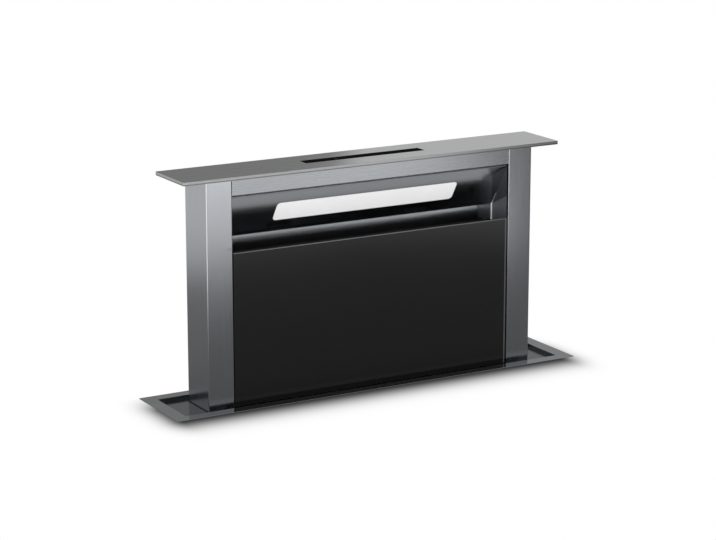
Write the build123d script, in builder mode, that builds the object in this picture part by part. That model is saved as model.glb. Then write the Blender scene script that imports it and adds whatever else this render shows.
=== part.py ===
"""Worktop downdraft vent, shown raised.

Millimetres. The origin is the middle of the worktop cut-out on the worktop's surface.
+Z is up, -Y is the cook's side with the glass front, +X is to the cook's right.
"""

from build123d import *
import os

os.makedirs("parts", exist_ok=True)

# ---------------------------------------------------------------- driving dimensions

SHEET = 1.0                    # housing, flange and column sheet steel
HEAVY_SHEET = 1.5              # beams and carriers
RUNNING_GAP = 0.3              # between bodies that slide past each other
BEARING_GAP = 0.05             # radial, shaft in bearing

# worktop flange and its recess
FLANGE_WIDTH = 900.0
FLANGE_DEPTH = 173.0
FLANGE_CORNER = 2.0
EDGE_ROUNDING = 0.4            # softened edges of the flange and the top plate
FLANGE_END = 28.0              # flange beyond each end of its recess
FLANGE_SIDE = 24.0             # flange in front of the recess, and behind it
PLATE_END_GAP = 5.0            # recess beyond each end of the lowered top plate
PLATE_FRONT_GAP = 1.5          # recess beyond its front and back
PLATE_REST_GAP = 0.5           # under the lowered plate
COLUMN_GAP = 3.0               # cut-out around the column
SEAL_BORDER = 6.0
SEAL_THICKNESS = 2.0
SEAL_GAP = 0.4
SEAL_LIP_DROP = 0.2            # lip below the recess floor

# top plate
PLATE_END_OVERHANG = 53.0      # beyond each end of the column
PLATE_OVERHANG = 16.0          # in front of the column, and behind it
PLATE_THICKNESS = 7.0
PLATE_SKIN = 1.2
PLATE_CORNER = 1.5
RAISED_HEIGHT = 449.0          # top of the plate above the worktop
STIFFENER_GAP = 0.2
TOUCH_WIDTH = 266.0
TOUCH_DEPTH = 28.0
TOUCH_OFFSET = 2.0             # behind the middle of the plate
TOUCH_THICKNESS = 4.0
TOUCH_GAP = 0.2
TOUCH_CORNER = 1.0
TOUCH_BOARD_MARGIN = 3.0

# column
COLUMN_TAIL = 70.0             # part that stays below the worktop
PILLAR_WIDTH = 54.5
PILLAR_WALL = 1.2
PILLAR_FOLD = 2.0
FASCIA_HEIGHT = 32.0
FASCIA_HEM = 8.0
FASCIA_FLANGE = 12.0
BEAM_DEPTH = 60.0
BEAM_HEIGHT = 15.0

# slanted light panel and baffle
SHADOW_GAP = 4.0               # slit under the fascia
SLANT_TOP_SETBACK = 4.4        # behind the column's front
SLANT_BOTTOM_SETBACK = 59.4
SLANT_BOTTOM_DROP = 128.0      # below the top of the plate
BAFFLE_SETBACK = 59.9
BAFFLE_DROP = 187.0
SHEET_BEND = 3.0

# light
DIFFUSER_MARGIN = 107.5        # from each pillar
DIFFUSER_HEIGHT = 45.0
DIFFUSER_CORNER = 8.0
DIFFUSER_DROP = 87.4           # its middle below the top of the plate
DIFFUSER_BORDER = 4.0
DIFFUSER_FLANGE = 2.0
DIFFUSER_PROUD = 0.3
LAMP_DEPTH = 12.0
LAMP_BOARD = 1.6
LAMP_BOARD_HEIGHT = 14.0
LAMP_COUNT = 12
LAMP_SIZE = 5.0
LAMP_HEIGHT = 1.2

# glass front
GLASS_DROP = 151.0             # its top edge below the top of the plate
GLASS_FOOT_GAP = 3.5           # over the recess floor
GLASS_THICKNESS = 5.0
GLASS_SIDE_GAP = 1.5
GLASS_BEVEL = 0.6
CARRIER_MARGIN = 3.5
CARRIER_TOP_MARGIN = 8.0
CARRIER_FLANGE = 10.0
PIVOT_HEIGHT = 4.0             # above the worktop
PIVOT_SETBACK = 8.0            # behind the glass face
PIVOT_RADIUS = 2.5
PIVOT_REACH = 5.0              # inside the pillar
APRON_DROP = 8.0               # top of the apron below the worktop
CATCH_HEIGHT = 18.0
CATCH_DEPTH = 10.0
CATCH_WIDTH = 9.5

# grease filters and trough
FILTER_THICKNESS = 9.0
FILTER_BORDER = 12.0
FILTER_SKIN = 1.0
FILTER_DROP = 164.0            # its top edge below the top of the plate
MESH_THICKNESS = 5.0
FILTER_TAB_WIDTH = 50.0
FILTER_TAB_REACH = 8.0
FILTER_TAB_DROP = 16.0
TROUGH_FLOOR = 45.0            # underside above the worktop
TROUGH_FRONT_SETBACK = 16.0    # behind the column's front
TROUGH_LIP = 11.0
TROUGH_BACK = 30.0
TROUGH_STOP = 8.0
GUIDE_STRIP = 12.0
GUIDE_THICKNESS = 2.0

# carriage
FRAME_THICKNESS = 3.0
FRAME_SIDE_BAR = 64.0
FRAME_LONG_BAR = 11.0
FRAME_INNER_CORNER = 6.0
SIDE_PLATE_THICKNESS = 3.0
SIDE_PLATE_TOP = 12.0          # below the worktop
SIDE_PLATE_BOTTOM = 92.0
GLIDE_HEIGHT = 30.0
GLIDE_SIDE_WALL = 8.0
GLIDE_WALL_GAP = 2.0

# lift
RAIL_SETBACK = 24.0            # behind the middle
RAIL_BASE_WIDTH = 24.0
RAIL_BASE_THICKNESS = 6.0
RAIL_HEAD_WIDTH = 12.0
RAIL_HEAD_THICKNESS = 10.0
RAIL_TOP = 15.0                # below the worktop
RAIL_FOOT = 42.0               # above the housing's underside
BELT_WIDTH = 10.0
BELT_THICKNESS = 2.0
BELT_INNER_RADIUS = 15.0
BELT_INSET = 32.0              # belt's middle from the housing's side wall
BELT_LINE = -20.0              # pulleys' middle, front to back
IDLER_DROP = 40.0              # below the worktop
SHAFT_FOOT = 27.0              # above the housing's underside
SHAFT_RADIUS = 5.0
AXLE_RADIUS = 4.0
AXLE_COLLAR_RADIUS = 7.0
AXLE_HEAD_RADIUS = 6.0
AXLE_HEAD = 2.0
AXLE_PLATE = 34.0
PULLEY_RIM = 1.5
PULLEY_RIM_HEIGHT = 3.0
CLAMP_WALL = 8.0
CLAMP_HEIGHT = 24.0
CLAMP_RAISE = 4.0              # above the side plate's bottom
BEARING_WIDTH = 12.0
BEARING_HEIGHT = 32.0
SHAFT_END_GAP = 4.0
GEARBOX_WIDTH = 30.0
GEARBOX_HEIGHT = 50.0
GEARBOX_FRONT = 26.0           # in front of the shaft
GEARBOX_OFFSET = 25.0          # left of the middle
GEARBOX_EDGE = 3.0
MOTOR_RADIUS = 23.0
MOTOR_LENGTH = 115.0
MOTOR_CAP_RADIUS = 19.0
MOTOR_CAP_LENGTH = 7.0
MOTOR_OFFSET = 44.0            # behind the shaft

# housing
HOUSING_RESERVE = 153.0        # depth below the worktop beyond the column's raised height
BOTTOM_LIP = 12.0
SIDE_RETURN = 8.0
RETURN_INSET = 12.0
FIXING_END = 43.0              # holes' distance from the housing's ends
FIXING_TOP = 60.0              # upper holes' distance below the worktop
FIXING_FOOT = 62.0             # lower holes' distance above the housing's underside
FIXING_RADIUS = 2.75
FOOT_END = 123.0               # from the housing's ends
FOOT_BOLT_RADIUS = 5.0
FOOT_PAD_RADIUS = 20.0
FOOT_PAD_HEIGHT = 8.0
FOOT_PAD_DROP = 10.0           # top of the pad under the housing
FOOT_BOLT_TOP = 40.0           # above the housing's underside
FOOT_NUT_RADIUS = 9.0
FOOT_NUT_HEIGHT = 12.0

# blower
CASE_WALL = 1.2
CASE_WIDTH = 340.0
CASE_HEIGHT = 300.0
CASE_DEPTH = 190.0
CASE_FOOT = 42.0               # above the housing's underside
CASE_FLANGE = 12.0
WINDOW_WIDTH = 300.0
WINDOW_HEIGHT = 200.0
WINDOW_FOOT = 92.0             # above the housing's underside
WINDOW_CORNER = 10.0
FAN_FOOT = 187.0               # above the housing's underside
FAN_OFFSET = -20.0             # sideways from the middle
SCROLL_FRONT = 28.5            # scroll's face behind the case's front
SCROLL_WIDTH = 120.0
SCROLL_WALL = 2.0
SCROLL_START_RADIUS = 98.0
SCROLL_STEP = 10.0             # radius gained each quarter turn
SCROLL_THROAT = 110.0
INLET_RADIUS = 72.0
MOTOR_PORT_RADIUS = 60.0
WHEEL_RADIUS = 85.0
WHEEL_BLADE_DEPTH = 13.0
WHEEL_BLADE = 1.2
WHEEL_BLADE_COUNT = 32
WHEEL_WIDTH = 85.0
WHEEL_PLATE = 2.0
WHEEL_RING = 7.0
WHEEL_INLET_GAP = 8.0
WHEEL_HUB_RADIUS = 14.0
WHEEL_HUB_HEIGHT = 20.0
WHEEL_SHAFT_RADIUS = 4.0
WHEEL_SHAFT_IN_MOTOR = 10.0
FAN_MOTOR_RADIUS = 50.0
FAN_MOTOR_LENGTH = 40.0
FAN_MOTOR_GAP = 5.0
BRACKET_THICKNESS = 3.0
BRACKET_RADIUS = 80.0
COLLAR_RADIUS = 75.0
COLLAR_WALL = 2.0
COLLAR_LENGTH = 80.0
COLLAR_FLANGE_RADIUS = 84.0
COLLAR_FLANGE = 3.0
FLAP_SETBACK = 8.0             # pin's place along the collar
FLAP_PIN_RADIUS = 2.0
FLAP_KNUCKLE_RADIUS = 3.5
FLAP_THICKNESS = 1.5
FLAP_EDGE_GAP = 1.5
FLAP_KNUCKLE = 20.0

# electrics
BOX_WIDTH = 165.0
BOX_HEIGHT = 120.0
BOX_DEPTH = 44.0
BOX_WALL = 2.5
BOX_CORNER = 5.0
BOX_LID = 3.0
BOX_MIDDLE = -297.0            # sideways
BOX_DROP = 210.0               # top below the worktop
BOARD_MARGIN = 10.0
BOARD_THICKNESS = 1.6
BOARD_POST = 6.0
BOARD_POST_RADIUS = 3.5
GLAND_RADIUS = 10.0
GLAND_BORE = 4.0
GLAND_LENGTH = 18.0
GLAND_NECK_RADIUS = 7.5
GLAND_NUT = 3.0

# screws
SCREW_HEAD_RADIUS = 4.0
SCREW_HEAD = 2.2
SCREW_DRIVE_RADIUS = 1.6
SCREW_DRIVE_DEPTH = 1.2

# ---------------------------------------------------------------- worked-out places

SIDES = ((-1, "left"), (1, "right"))
ALL_LOW = (Align.MIN, Align.MIN, Align.MIN)

recess_width = FLANGE_WIDTH - 2 * FLANGE_END
recess_depth = FLANGE_DEPTH - 2 * FLANGE_SIDE
plate_width = recess_width - 2 * PLATE_END_GAP
plate_depth = recess_depth - 2 * PLATE_FRONT_GAP
column_width = plate_width - 2 * PLATE_END_OVERHANG
column_depth = plate_depth - 2 * PLATE_OVERHANG
recess_floor = SHEET - PLATE_THICKNESS - PLATE_REST_GAP
recess_under = recess_floor - SHEET
cutout_width = column_width + 2 * COLUMN_GAP
cutout_depth = column_depth + 2 * COLUMN_GAP

plate_under = RAISED_HEIGHT - PLATE_THICKNESS
column_side = column_width / 2
column_front = -column_depth / 2
column_back = column_depth / 2
inner_side = column_side - PILLAR_WIDTH
inner_width = 2 * inner_side
glass_top = RAISED_HEIGHT - GLASS_DROP
filter_top = RAISED_HEIGHT - FILTER_DROP
diffuser_width = inner_width - 2 * DIFFUSER_MARGIN
fascia_foot = plate_under - FASCIA_HEIGHT
frame_top = -COLUMN_TAIL
frame_under = frame_top - FRAME_THICKNESS

housing_width = recess_width + 2 * SHEET
housing_depth = recess_depth + 2 * SHEET
wall_in_x = recess_width / 2
wall_in_y = recess_depth / 2
housing_under = -RAISED_HEIGHT - HOUSING_RESERVE
floor_under = housing_under + SHEET
floor_top = floor_under + SHEET
seal_width = cutout_width + 2 * SEAL_BORDER
seal_depth = cutout_depth + 2 * SEAL_BORDER
shaft_z = housing_under + SHAFT_FOOT
rail_foot = housing_under + RAIL_FOOT
foot_x = housing_width / 2 - FOOT_END
top_lip = wall_in_y - seal_depth / 2 - PLATE_REST_GAP


def block(low, high, mode=Mode.ADD):
    """A rectangular block between two opposite corners."""
    size = [top - bottom for bottom, top in zip(low, high)]
    with Locations(low):
        Box(*size, align=ALL_LOW, mode=mode)


def rod(plane, centre, radius, length, mode=Mode.ADD):
    """A round rod that starts on a plane and runs along its normal."""
    with BuildSketch(plane) as disc:
        with Locations(centre):
            Circle(radius)
    extrude(disc.sketch, amount=length, mode=mode)


def screw(plane, centre):
    """A round screw head that lies on a plane, with its drive recess."""
    rod(plane, centre, SCREW_HEAD_RADIUS, SCREW_HEAD)
    rod(plane.offset(SCREW_HEAD), centre, SCREW_DRIVE_RADIUS, -SCREW_DRIVE_DEPTH, Mode.SUBTRACT)


def mirrored(side, near, far):
    """The low and high x of a span that lies between two distances from the middle."""
    return sorted((side * near, side * far))


# ---------------------------------------------------------------- flange and seal

with BuildPart() as worktop_flange:
    with BuildSketch(Plane.XY):
        RectangleRounded(FLANGE_WIDTH, FLANGE_DEPTH, FLANGE_CORNER)
        Rectangle(recess_width, recess_depth, mode=Mode.SUBTRACT)
    extrude(amount=SHEET)
    with BuildSketch(Plane.XY.offset(recess_under)):
        Rectangle(housing_width, housing_depth)
        Rectangle(recess_width, recess_depth, mode=Mode.SUBTRACT)
    extrude(amount=-recess_under)
    with BuildSketch(Plane.XY.offset(recess_under)):
        Rectangle(housing_width, housing_depth)
        Rectangle(cutout_width, cutout_depth, mode=Mode.SUBTRACT)
    extrude(amount=SHEET)
    fillet(worktop_flange.edges().group_by(Axis.Z)[-1], EDGE_ROUNDING)
worktop_flange.part.label = "worktop_flange"
export_step(worktop_flange.part, "parts/worktop_flange.step")

with BuildPart() as wiper_seal:
    bore_width = column_width + 2 * SEAL_GAP
    bore_depth = column_depth + 2 * SEAL_GAP
    with BuildSketch(Plane.XY.offset(recess_under - SEAL_THICKNESS)):
        Rectangle(seal_width, seal_depth)
        Rectangle(bore_width, bore_depth, mode=Mode.SUBTRACT)
    extrude(amount=SEAL_THICKNESS)
    with BuildSketch(Plane.XY.offset(recess_under)):
        Rectangle(cutout_width - 2 * SEAL_LIP_DROP, cutout_depth - 2 * SEAL_LIP_DROP)
        Rectangle(bore_width, bore_depth, mode=Mode.SUBTRACT)
    extrude(amount=SHEET - SEAL_LIP_DROP)
wiper_seal.part.label = "wiper_seal"
export_step(wiper_seal.part, "parts/wiper_seal.step")

# ---------------------------------------------------------------- housing

case_under = housing_under + CASE_FOOT
case_top = case_under + CASE_HEIGHT
window_z = housing_under + WINDOW_FOOT + WINDOW_HEIGHT / 2
fixing_foot = housing_under + FIXING_FOOT
case_side = CASE_WIDTH / 2
face_y = -housing_depth / 2
case_front = face_y - CASE_DEPTH


def housing_sheet(side):
    """A long housing sheet with folded lips at its top and bottom."""
    inside = side * wall_in_y
    outside = side * housing_depth / 2
    low, high = sorted((inside, outside))
    block((-housing_width / 2, low, housing_under), (housing_width / 2, high, recess_under))
    low, high = sorted((inside, inside - side * top_lip))
    block((-housing_width / 2, low, recess_under - SHEET), (housing_width / 2, high, recess_under))
    low, high = sorted((inside, inside - side * BOTTOM_LIP))
    block((-housing_width / 2, low, housing_under), (housing_width / 2, high, floor_under))


with BuildPart() as housing_back:
    housing_sheet(1)
    with BuildSketch(Plane.XZ.offset(-housing_depth / 2)):
        with Locations((0, (fixing_foot - FIXING_TOP) / 2)):
            with GridLocations(housing_width - 2 * FIXING_END, -FIXING_TOP - fixing_foot, 2, 2):
                Circle(FIXING_RADIUS)
    extrude(amount=SHEET, mode=Mode.SUBTRACT)
housing_back.part.label = "housing_back"
export_step(housing_back.part, "parts/housing_back.step")

with BuildPart() as housing_front:
    housing_sheet(-1)
    with BuildSketch(Plane.XZ.offset(wall_in_y)):
        with Locations((0, window_z)):
            RectangleRounded(WINDOW_WIDTH, WINDOW_HEIGHT, WINDOW_CORNER)
    extrude(amount=SHEET, mode=Mode.SUBTRACT)
housing_front.part.label = "housing_front"
export_step(housing_front.part, "parts/housing_front.step")

side_top = recess_under - SHEET
with BuildPart() as housing_sides:
    for side, side_name in SIDES:
        low, high = mirrored(side, wall_in_x, housing_width / 2)
        block((low, -wall_in_y, floor_under), (high, wall_in_y, side_top))
        low, high = mirrored(side, wall_in_x - SIDE_RETURN, wall_in_x)
        return_low = floor_top + RETURN_INSET
        return_high = side_top - RETURN_INSET
        block((low, wall_in_y - SHEET, return_low), (high, wall_in_y, return_high))
        block((low, -wall_in_y, return_low), (high, SHEET - wall_in_y, return_high))
housing_sides.part.label = "housing_sides"
export_step(housing_sides.part, "parts/housing_sides.step")

with BuildPart() as housing_floor:
    block((-wall_in_x, -wall_in_y, floor_under), (wall_in_x, wall_in_y, floor_top))
    for side, side_name in SIDES:
        rod(Plane.XY.offset(floor_top), (side * foot_x, 0), FOOT_NUT_RADIUS, FOOT_NUT_HEIGHT)
    for side, side_name in SIDES:
        rod(
            Plane.XY.offset(floor_under),
            (side * foot_x, 0),
            FOOT_BOLT_RADIUS + BEARING_GAP,
            SHEET + FOOT_NUT_HEIGHT,
            Mode.SUBTRACT,
        )
housing_floor.part.label = "housing_floor"
export_step(housing_floor.part, "parts/housing_floor.step")

pad_top = housing_under - FOOT_PAD_DROP
for side, side_name in SIDES:
    with BuildPart() as levelling_foot:
        foot_place = (side * foot_x, 0)
        rod(Plane.XY.offset(pad_top - FOOT_PAD_HEIGHT), foot_place, FOOT_PAD_RADIUS, FOOT_PAD_HEIGHT)
        rod(Plane.XY.offset(pad_top), foot_place, FOOT_BOLT_RADIUS, FOOT_PAD_DROP + FOOT_BOLT_TOP)
        pad_rim = levelling_foot.edges().filter_by(GeomType.CIRCLE).sort_by(SortBy.RADIUS)[-2:]
        fillet(pad_rim, SHEET)
    levelling_foot.part.label = f"{side_name}_levelling_foot"
    export_step(levelling_foot.part, f"parts/{side_name}_levelling_foot.step")

# ---------------------------------------------------------------- top plate and touch strip

skin_under = RAISED_HEIGHT - PLATE_SKIN
touch_plane = Plane.XY.offset(plate_under)


def touch_window(height):
    """Cut the touch strip's window upwards from the plate's underside."""
    with BuildSketch(touch_plane) as window:
        with Locations((0, TOUCH_OFFSET)):
            RectangleRounded(TOUCH_WIDTH, TOUCH_DEPTH, TOUCH_CORNER)
    extrude(window.sketch, amount=height, mode=Mode.SUBTRACT)


with BuildPart() as top_plate:
    with BuildSketch(touch_plane):
        RectangleRounded(plate_width, plate_depth, PLATE_CORNER)
    extrude(amount=PLATE_THICKNESS)
    with BuildSketch(touch_plane):
        Rectangle(plate_width - 2 * PLATE_SKIN, plate_depth - 2 * PLATE_SKIN)
    extrude(amount=PLATE_THICKNESS - PLATE_SKIN, mode=Mode.SUBTRACT)
    touch_window(PLATE_THICKNESS)
    fillet(top_plate.edges().group_by(Axis.Z)[-1], EDGE_ROUNDING)
top_plate.part.label = "top_plate"
export_step(top_plate.part, "parts/top_plate.step")

with BuildPart() as plate_stiffener:
    stiffener_margin = 2 * (PLATE_SKIN + STIFFENER_GAP)
    with BuildSketch(touch_plane):
        Rectangle(plate_width - stiffener_margin, plate_depth - stiffener_margin)
    extrude(amount=PLATE_THICKNESS - PLATE_SKIN)
    touch_window(PLATE_THICKNESS)
plate_stiffener.part.label = "plate_stiffener"
export_step(plate_stiffener.part, "parts/plate_stiffener.step")

touch_under = RAISED_HEIGHT - TOUCH_THICKNESS
with BuildPart() as touch_panel:
    with BuildSketch(Plane.XY.offset(touch_under)):
        with Locations((0, TOUCH_OFFSET)):
            RectangleRounded(TOUCH_WIDTH - 2 * TOUCH_GAP, TOUCH_DEPTH - 2 * TOUCH_GAP, TOUCH_CORNER)
    extrude(amount=TOUCH_THICKNESS)
    chamfer(touch_panel.edges().group_by(Axis.Z)[-1], TOUCH_GAP)
touch_panel.part.label = "touch_panel"
export_step(touch_panel.part, "parts/touch_panel.step")

with BuildPart() as touch_board:
    with BuildSketch(touch_plane):
        with Locations((0, TOUCH_OFFSET)):
            Rectangle(TOUCH_WIDTH - 2 * TOUCH_BOARD_MARGIN, TOUCH_DEPTH - 2 * TOUCH_BOARD_MARGIN)
    extrude(amount=touch_under - plate_under)
touch_board.part.label = "touch_board"
export_step(touch_board.part, "parts/touch_board.step")

# ---------------------------------------------------------------- pillars and column skins

pivot_y = column_front + PIVOT_SETBACK
for side, side_name in SIDES:
    with BuildPart() as pillar:
        with BuildSketch(Plane.XY.offset(frame_top)):
            with Locations((side * (column_side - PILLAR_WIDTH / 2), 0)):
                RectangleRounded(PILLAR_WIDTH, column_depth, PILLAR_FOLD)
                RectangleRounded(
                    PILLAR_WIDTH - 2 * PILLAR_WALL,
                    column_depth - 2 * PILLAR_WALL,
                    PILLAR_FOLD - PILLAR_WALL,
                    mode=Mode.SUBTRACT,
                )
        extrude(amount=plate_under - frame_top)
        rod(
            Plane.YZ.offset(side * inner_side),
            (pivot_y, PIVOT_HEIGHT),
            PIVOT_RADIUS + BEARING_GAP,
            side * PILLAR_WALL,
            Mode.SUBTRACT,
        )
    pillar.part.label = f"{side_name}_pillar"
    export_step(pillar.part, f"parts/{side_name}_pillar.step")

with BuildPart() as front_fascia:
    skin_back = column_front + SHEET
    block((-inner_side, column_front, fascia_foot), (inner_side, skin_back, plate_under))
    block((-inner_side, skin_back, fascia_foot), (inner_side, skin_back + FASCIA_HEM, fascia_foot + SHEET))
    block(
        (-inner_side, skin_back, plate_under - SHEET),
        (inner_side, skin_back + FASCIA_FLANGE, plate_under),
    )
front_fascia.part.label = "front_fascia"
export_step(front_fascia.part, "parts/front_fascia.step")

with BuildPart() as back_panel:
    block((-inner_side, column_back - SHEET, frame_under), (inner_side, column_back, plate_under))
back_panel.part.label = "back_panel"
export_step(back_panel.part, "parts/back_panel.step")

with BuildPart() as lower_apron:
    block((-inner_side, column_front, frame_under), (inner_side, column_front + SHEET, -APRON_DROP))
lower_apron.part.label = "lower_apron"
export_step(lower_apron.part, "parts/lower_apron.step")

beam_front = -BEAM_DEPTH / 2
with BuildPart() as head_beam:
    with BuildSketch(Plane.YZ.offset(-inner_side)):
        with Locations((0, plate_under - BEAM_HEIGHT / 2)):
            Rectangle(BEAM_DEPTH, BEAM_HEIGHT)
        with Locations((0, plate_under - HEAVY_SHEET - BEAM_HEIGHT / 2)):
            Rectangle(BEAM_DEPTH - 2 * HEAVY_SHEET, BEAM_HEIGHT, mode=Mode.SUBTRACT)
    extrude(amount=inner_width)
head_beam.part.label = "head_beam"
export_step(head_beam.part, "parts/head_beam.step")

# ---------------------------------------------------------------- light panel, baffle and light

slant_top = (column_front + SLANT_TOP_SETBACK, fascia_foot - SHADOW_GAP)
slant_bottom = (column_front + SLANT_BOTTOM_SETBACK - SHEET, RAISED_HEIGHT - SLANT_BOTTOM_DROP)
baffle_y = column_front + BAFFLE_SETBACK
baffle_foot = RAISED_HEIGHT - BAFFLE_DROP
tab_y = beam_front - SHEET / 2
slant = Vector(slant_bottom[0] - slant_top[0], slant_bottom[1] - slant_top[1])

with BuildPart() as light_deflector:
    with BuildSketch(Plane.YZ.offset(-inner_side)):
        with BuildLine():
            FilletPolyline(
                (tab_y, plate_under - HEAVY_SHEET),
                (tab_y, slant_top[1]),
                slant_top,
                slant_bottom,
                (baffle_y, slant_bottom[1] - SHEET_BEND),
                (baffle_y, baffle_foot),
                radius=SHEET,
            )
        trace(line_width=SHEET)
    extrude(amount=inner_width)
    diffuser_z = RAISED_HEIGHT - DIFFUSER_DROP
    diffuser_share = (diffuser_z - slant_top[1]) / slant.Y
    light_plane = Plane(
        origin=(0, slant_top[0] + diffuser_share * slant.X, diffuser_z),
        x_dir=(1, 0, 0),
        z_dir=(0, slant.Y, -slant.X),
    )
    with BuildSketch(light_plane.offset(SHEET)):
        RectangleRounded(
            diffuser_width + 2 * TOUCH_GAP,
            DIFFUSER_HEIGHT + 2 * TOUCH_GAP,
            DIFFUSER_CORNER,
        )
    extrude(amount=-2 * SHEET, mode=Mode.SUBTRACT)
light_deflector.part.label = "light_deflector"
export_step(light_deflector.part, "parts/light_deflector.step")

light_face = light_plane.offset(SHEET / 2)
light_back = light_plane.offset(-SHEET / 2)
lamp_width = diffuser_width + 2 * DIFFUSER_BORDER
lamp_height = DIFFUSER_HEIGHT + 2 * DIFFUSER_BORDER

with BuildPart() as led_diffuser:
    with BuildSketch(light_back):
        RectangleRounded(diffuser_width, DIFFUSER_HEIGHT, DIFFUSER_CORNER)
    extrude(amount=SHEET + DIFFUSER_PROUD)
    with BuildSketch(light_back):
        RectangleRounded(lamp_width, lamp_height, DIFFUSER_CORNER)
    extrude(amount=-DIFFUSER_FLANGE)
led_diffuser.part.label = "led_diffuser"
export_step(led_diffuser.part, "parts/led_diffuser.step")

lamp_mouth = light_back.offset(-DIFFUSER_FLANGE)
with BuildPart() as led_housing:
    with BuildSketch(lamp_mouth):
        RectangleRounded(lamp_width, lamp_height, DIFFUSER_CORNER)
    extrude(amount=-LAMP_DEPTH)
    with BuildSketch(lamp_mouth):
        RectangleRounded(
            lamp_width - 2 * PLATE_SKIN,
            lamp_height - 2 * PLATE_SKIN,
            DIFFUSER_CORNER - PLATE_SKIN,
        )
    extrude(amount=PLATE_SKIN - LAMP_DEPTH, mode=Mode.SUBTRACT)
led_housing.part.label = "led_housing"
export_step(led_housing.part, "parts/led_housing.step")

lamp_floor = lamp_mouth.offset(PLATE_SKIN - LAMP_DEPTH)
with BuildPart() as led_board:
    with BuildSketch(lamp_floor):
        Rectangle(diffuser_width, LAMP_BOARD_HEIGHT)
    extrude(amount=LAMP_BOARD)
    with BuildSketch(lamp_floor.offset(LAMP_BOARD)):
        with GridLocations(diffuser_width / LAMP_COUNT, 0, LAMP_COUNT, 1):
            Rectangle(LAMP_SIZE, LAMP_SIZE)
    extrude(amount=LAMP_HEIGHT)
led_board.part.label = "led_board"
export_step(led_board.part, "parts/led_board.step")

# ---------------------------------------------------------------- glass front

glass_foot = recess_floor + GLASS_FOOT_GAP
glass_side = inner_side - GLASS_SIDE_GAP
glass_back = column_front + GLASS_THICKNESS
carrier_side = glass_side - CARRIER_MARGIN
carrier_top = glass_top - CARRIER_TOP_MARGIN
carrier_foot = glass_foot + CARRIER_MARGIN
flange_back = glass_back + CARRIER_FLANGE

with BuildPart() as glass_panel:
    block((-glass_side, column_front, glass_foot), (glass_side, glass_back, glass_top))
    front_edges = glass_panel.faces().sort_by(Axis.Y)[0].edges()
    chamfer(front_edges, GLASS_BEVEL)
glass_panel.part.label = "glass_panel"
export_step(glass_panel.part, "parts/glass_panel.step")

with BuildPart() as glass_carrier:
    block((-carrier_side, glass_back, carrier_foot), (carrier_side, glass_back + HEAVY_SHEET, carrier_top))
    for side, side_name in SIDES:
        low, high = mirrored(side, carrier_side - HEAVY_SHEET, carrier_side)
        block((low, glass_back, carrier_foot), (high, flange_back, carrier_top))
        rod(
            Plane.YZ.offset(side * carrier_side),
            (pivot_y, PIVOT_HEIGHT),
            PIVOT_RADIUS,
            side * (inner_side + PIVOT_REACH - carrier_side),
        )
glass_carrier.part.label = "glass_carrier"
export_step(glass_carrier.part, "parts/glass_carrier.step")

with BuildPart() as magnet_catches:
    catch_y = flange_back + RUNNING_GAP
    catch_top = carrier_top - CARRIER_TOP_MARGIN
    for side, side_name in SIDES:
        low, high = mirrored(side, inner_side - CATCH_WIDTH, inner_side)
        block((low, catch_y, catch_top - CATCH_HEIGHT), (high, catch_y + CATCH_DEPTH, catch_top))
magnet_catches.part.label = "magnet_catches"
export_step(magnet_catches.part, "parts/magnet_catches.step")

# ---------------------------------------------------------------- grease filters and trough

trough_front = column_front + TROUGH_FRONT_SETBACK
trough_top = TROUGH_FLOOR + SHEET
guide_y = baffle_y - SHEET / 2
filter_back = guide_y - RUNNING_GAP
filter_front = filter_back - FILTER_THICKNESS
filter_foot = trough_top + RUNNING_GAP
filter_width = inner_side - 5 * RUNNING_GAP - RUNNING_GAP
stop_back = filter_front - RUNNING_GAP
trough_back = guide_y + GUIDE_THICKNESS

with BuildPart() as grease_trough:
    block((-inner_side, trough_front, TROUGH_FLOOR), (inner_side, trough_back, trough_top))
    upstands = (
        (trough_front, TROUGH_LIP),
        (stop_back - SHEET, TROUGH_STOP),
        (trough_back - SHEET, TROUGH_BACK),
    )
    for upstand_y, upstand in upstands:
        upstand_top = TROUGH_FLOOR + upstand
        block((-inner_side, upstand_y, TROUGH_FLOOR), (inner_side, upstand_y + SHEET, upstand_top))
grease_trough.part.label = "grease_trough"
export_step(grease_trough.part, "parts/grease_trough.step")

with BuildPart() as filter_guides:
    guide_foot = TROUGH_FLOOR + TROUGH_BACK
    for low in (-inner_side, -GUIDE_STRIP / 2, inner_side - GUIDE_STRIP):
        block((low, guide_y, guide_foot), (low + GUIDE_STRIP, trough_back, baffle_foot))
filter_guides.part.label = "filter_guides"
export_step(filter_guides.part, "parts/filter_guides.step")

for side, side_name in SIDES:
    near = (inner_side - filter_width) / 2
    low, high = mirrored(side, near, near + filter_width)
    mesh_low = low + FILTER_BORDER
    mesh_high = high - FILTER_BORDER
    mesh_foot = filter_foot + FILTER_BORDER
    mesh_top = filter_top - FILTER_BORDER
    mesh_front = (filter_front + filter_back - MESH_THICKNESS) / 2
    with BuildPart() as filter_frame:
        block((low, filter_front, filter_foot), (high, filter_back, filter_top))
        block(
            (mesh_low, filter_front, mesh_foot),
            (mesh_high, filter_back, mesh_top),
            Mode.SUBTRACT,
        )
        tab_z = filter_top - FILTER_TAB_DROP + FILTER_BORDER / 2
        tab_x = (low + high - FILTER_TAB_WIDTH) / 2
        block(
            (tab_x, filter_front - FILTER_TAB_REACH, tab_z),
            (tab_x + FILTER_TAB_WIDTH, filter_front, tab_z + HEAVY_SHEET),
        )
    filter_frame.part.label = f"{side_name}_filter_frame"
    export_step(filter_frame.part, f"parts/{side_name}_filter_frame.step")
    with BuildPart() as filter_mesh:
        block((mesh_low, mesh_front, mesh_foot), (mesh_high, mesh_front + MESH_THICKNESS, mesh_top))
    filter_mesh.part.label = f"{side_name}_filter_mesh"
    export_step(filter_mesh.part, f"parts/{side_name}_filter_mesh.step")

# ---------------------------------------------------------------- carriage

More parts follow.
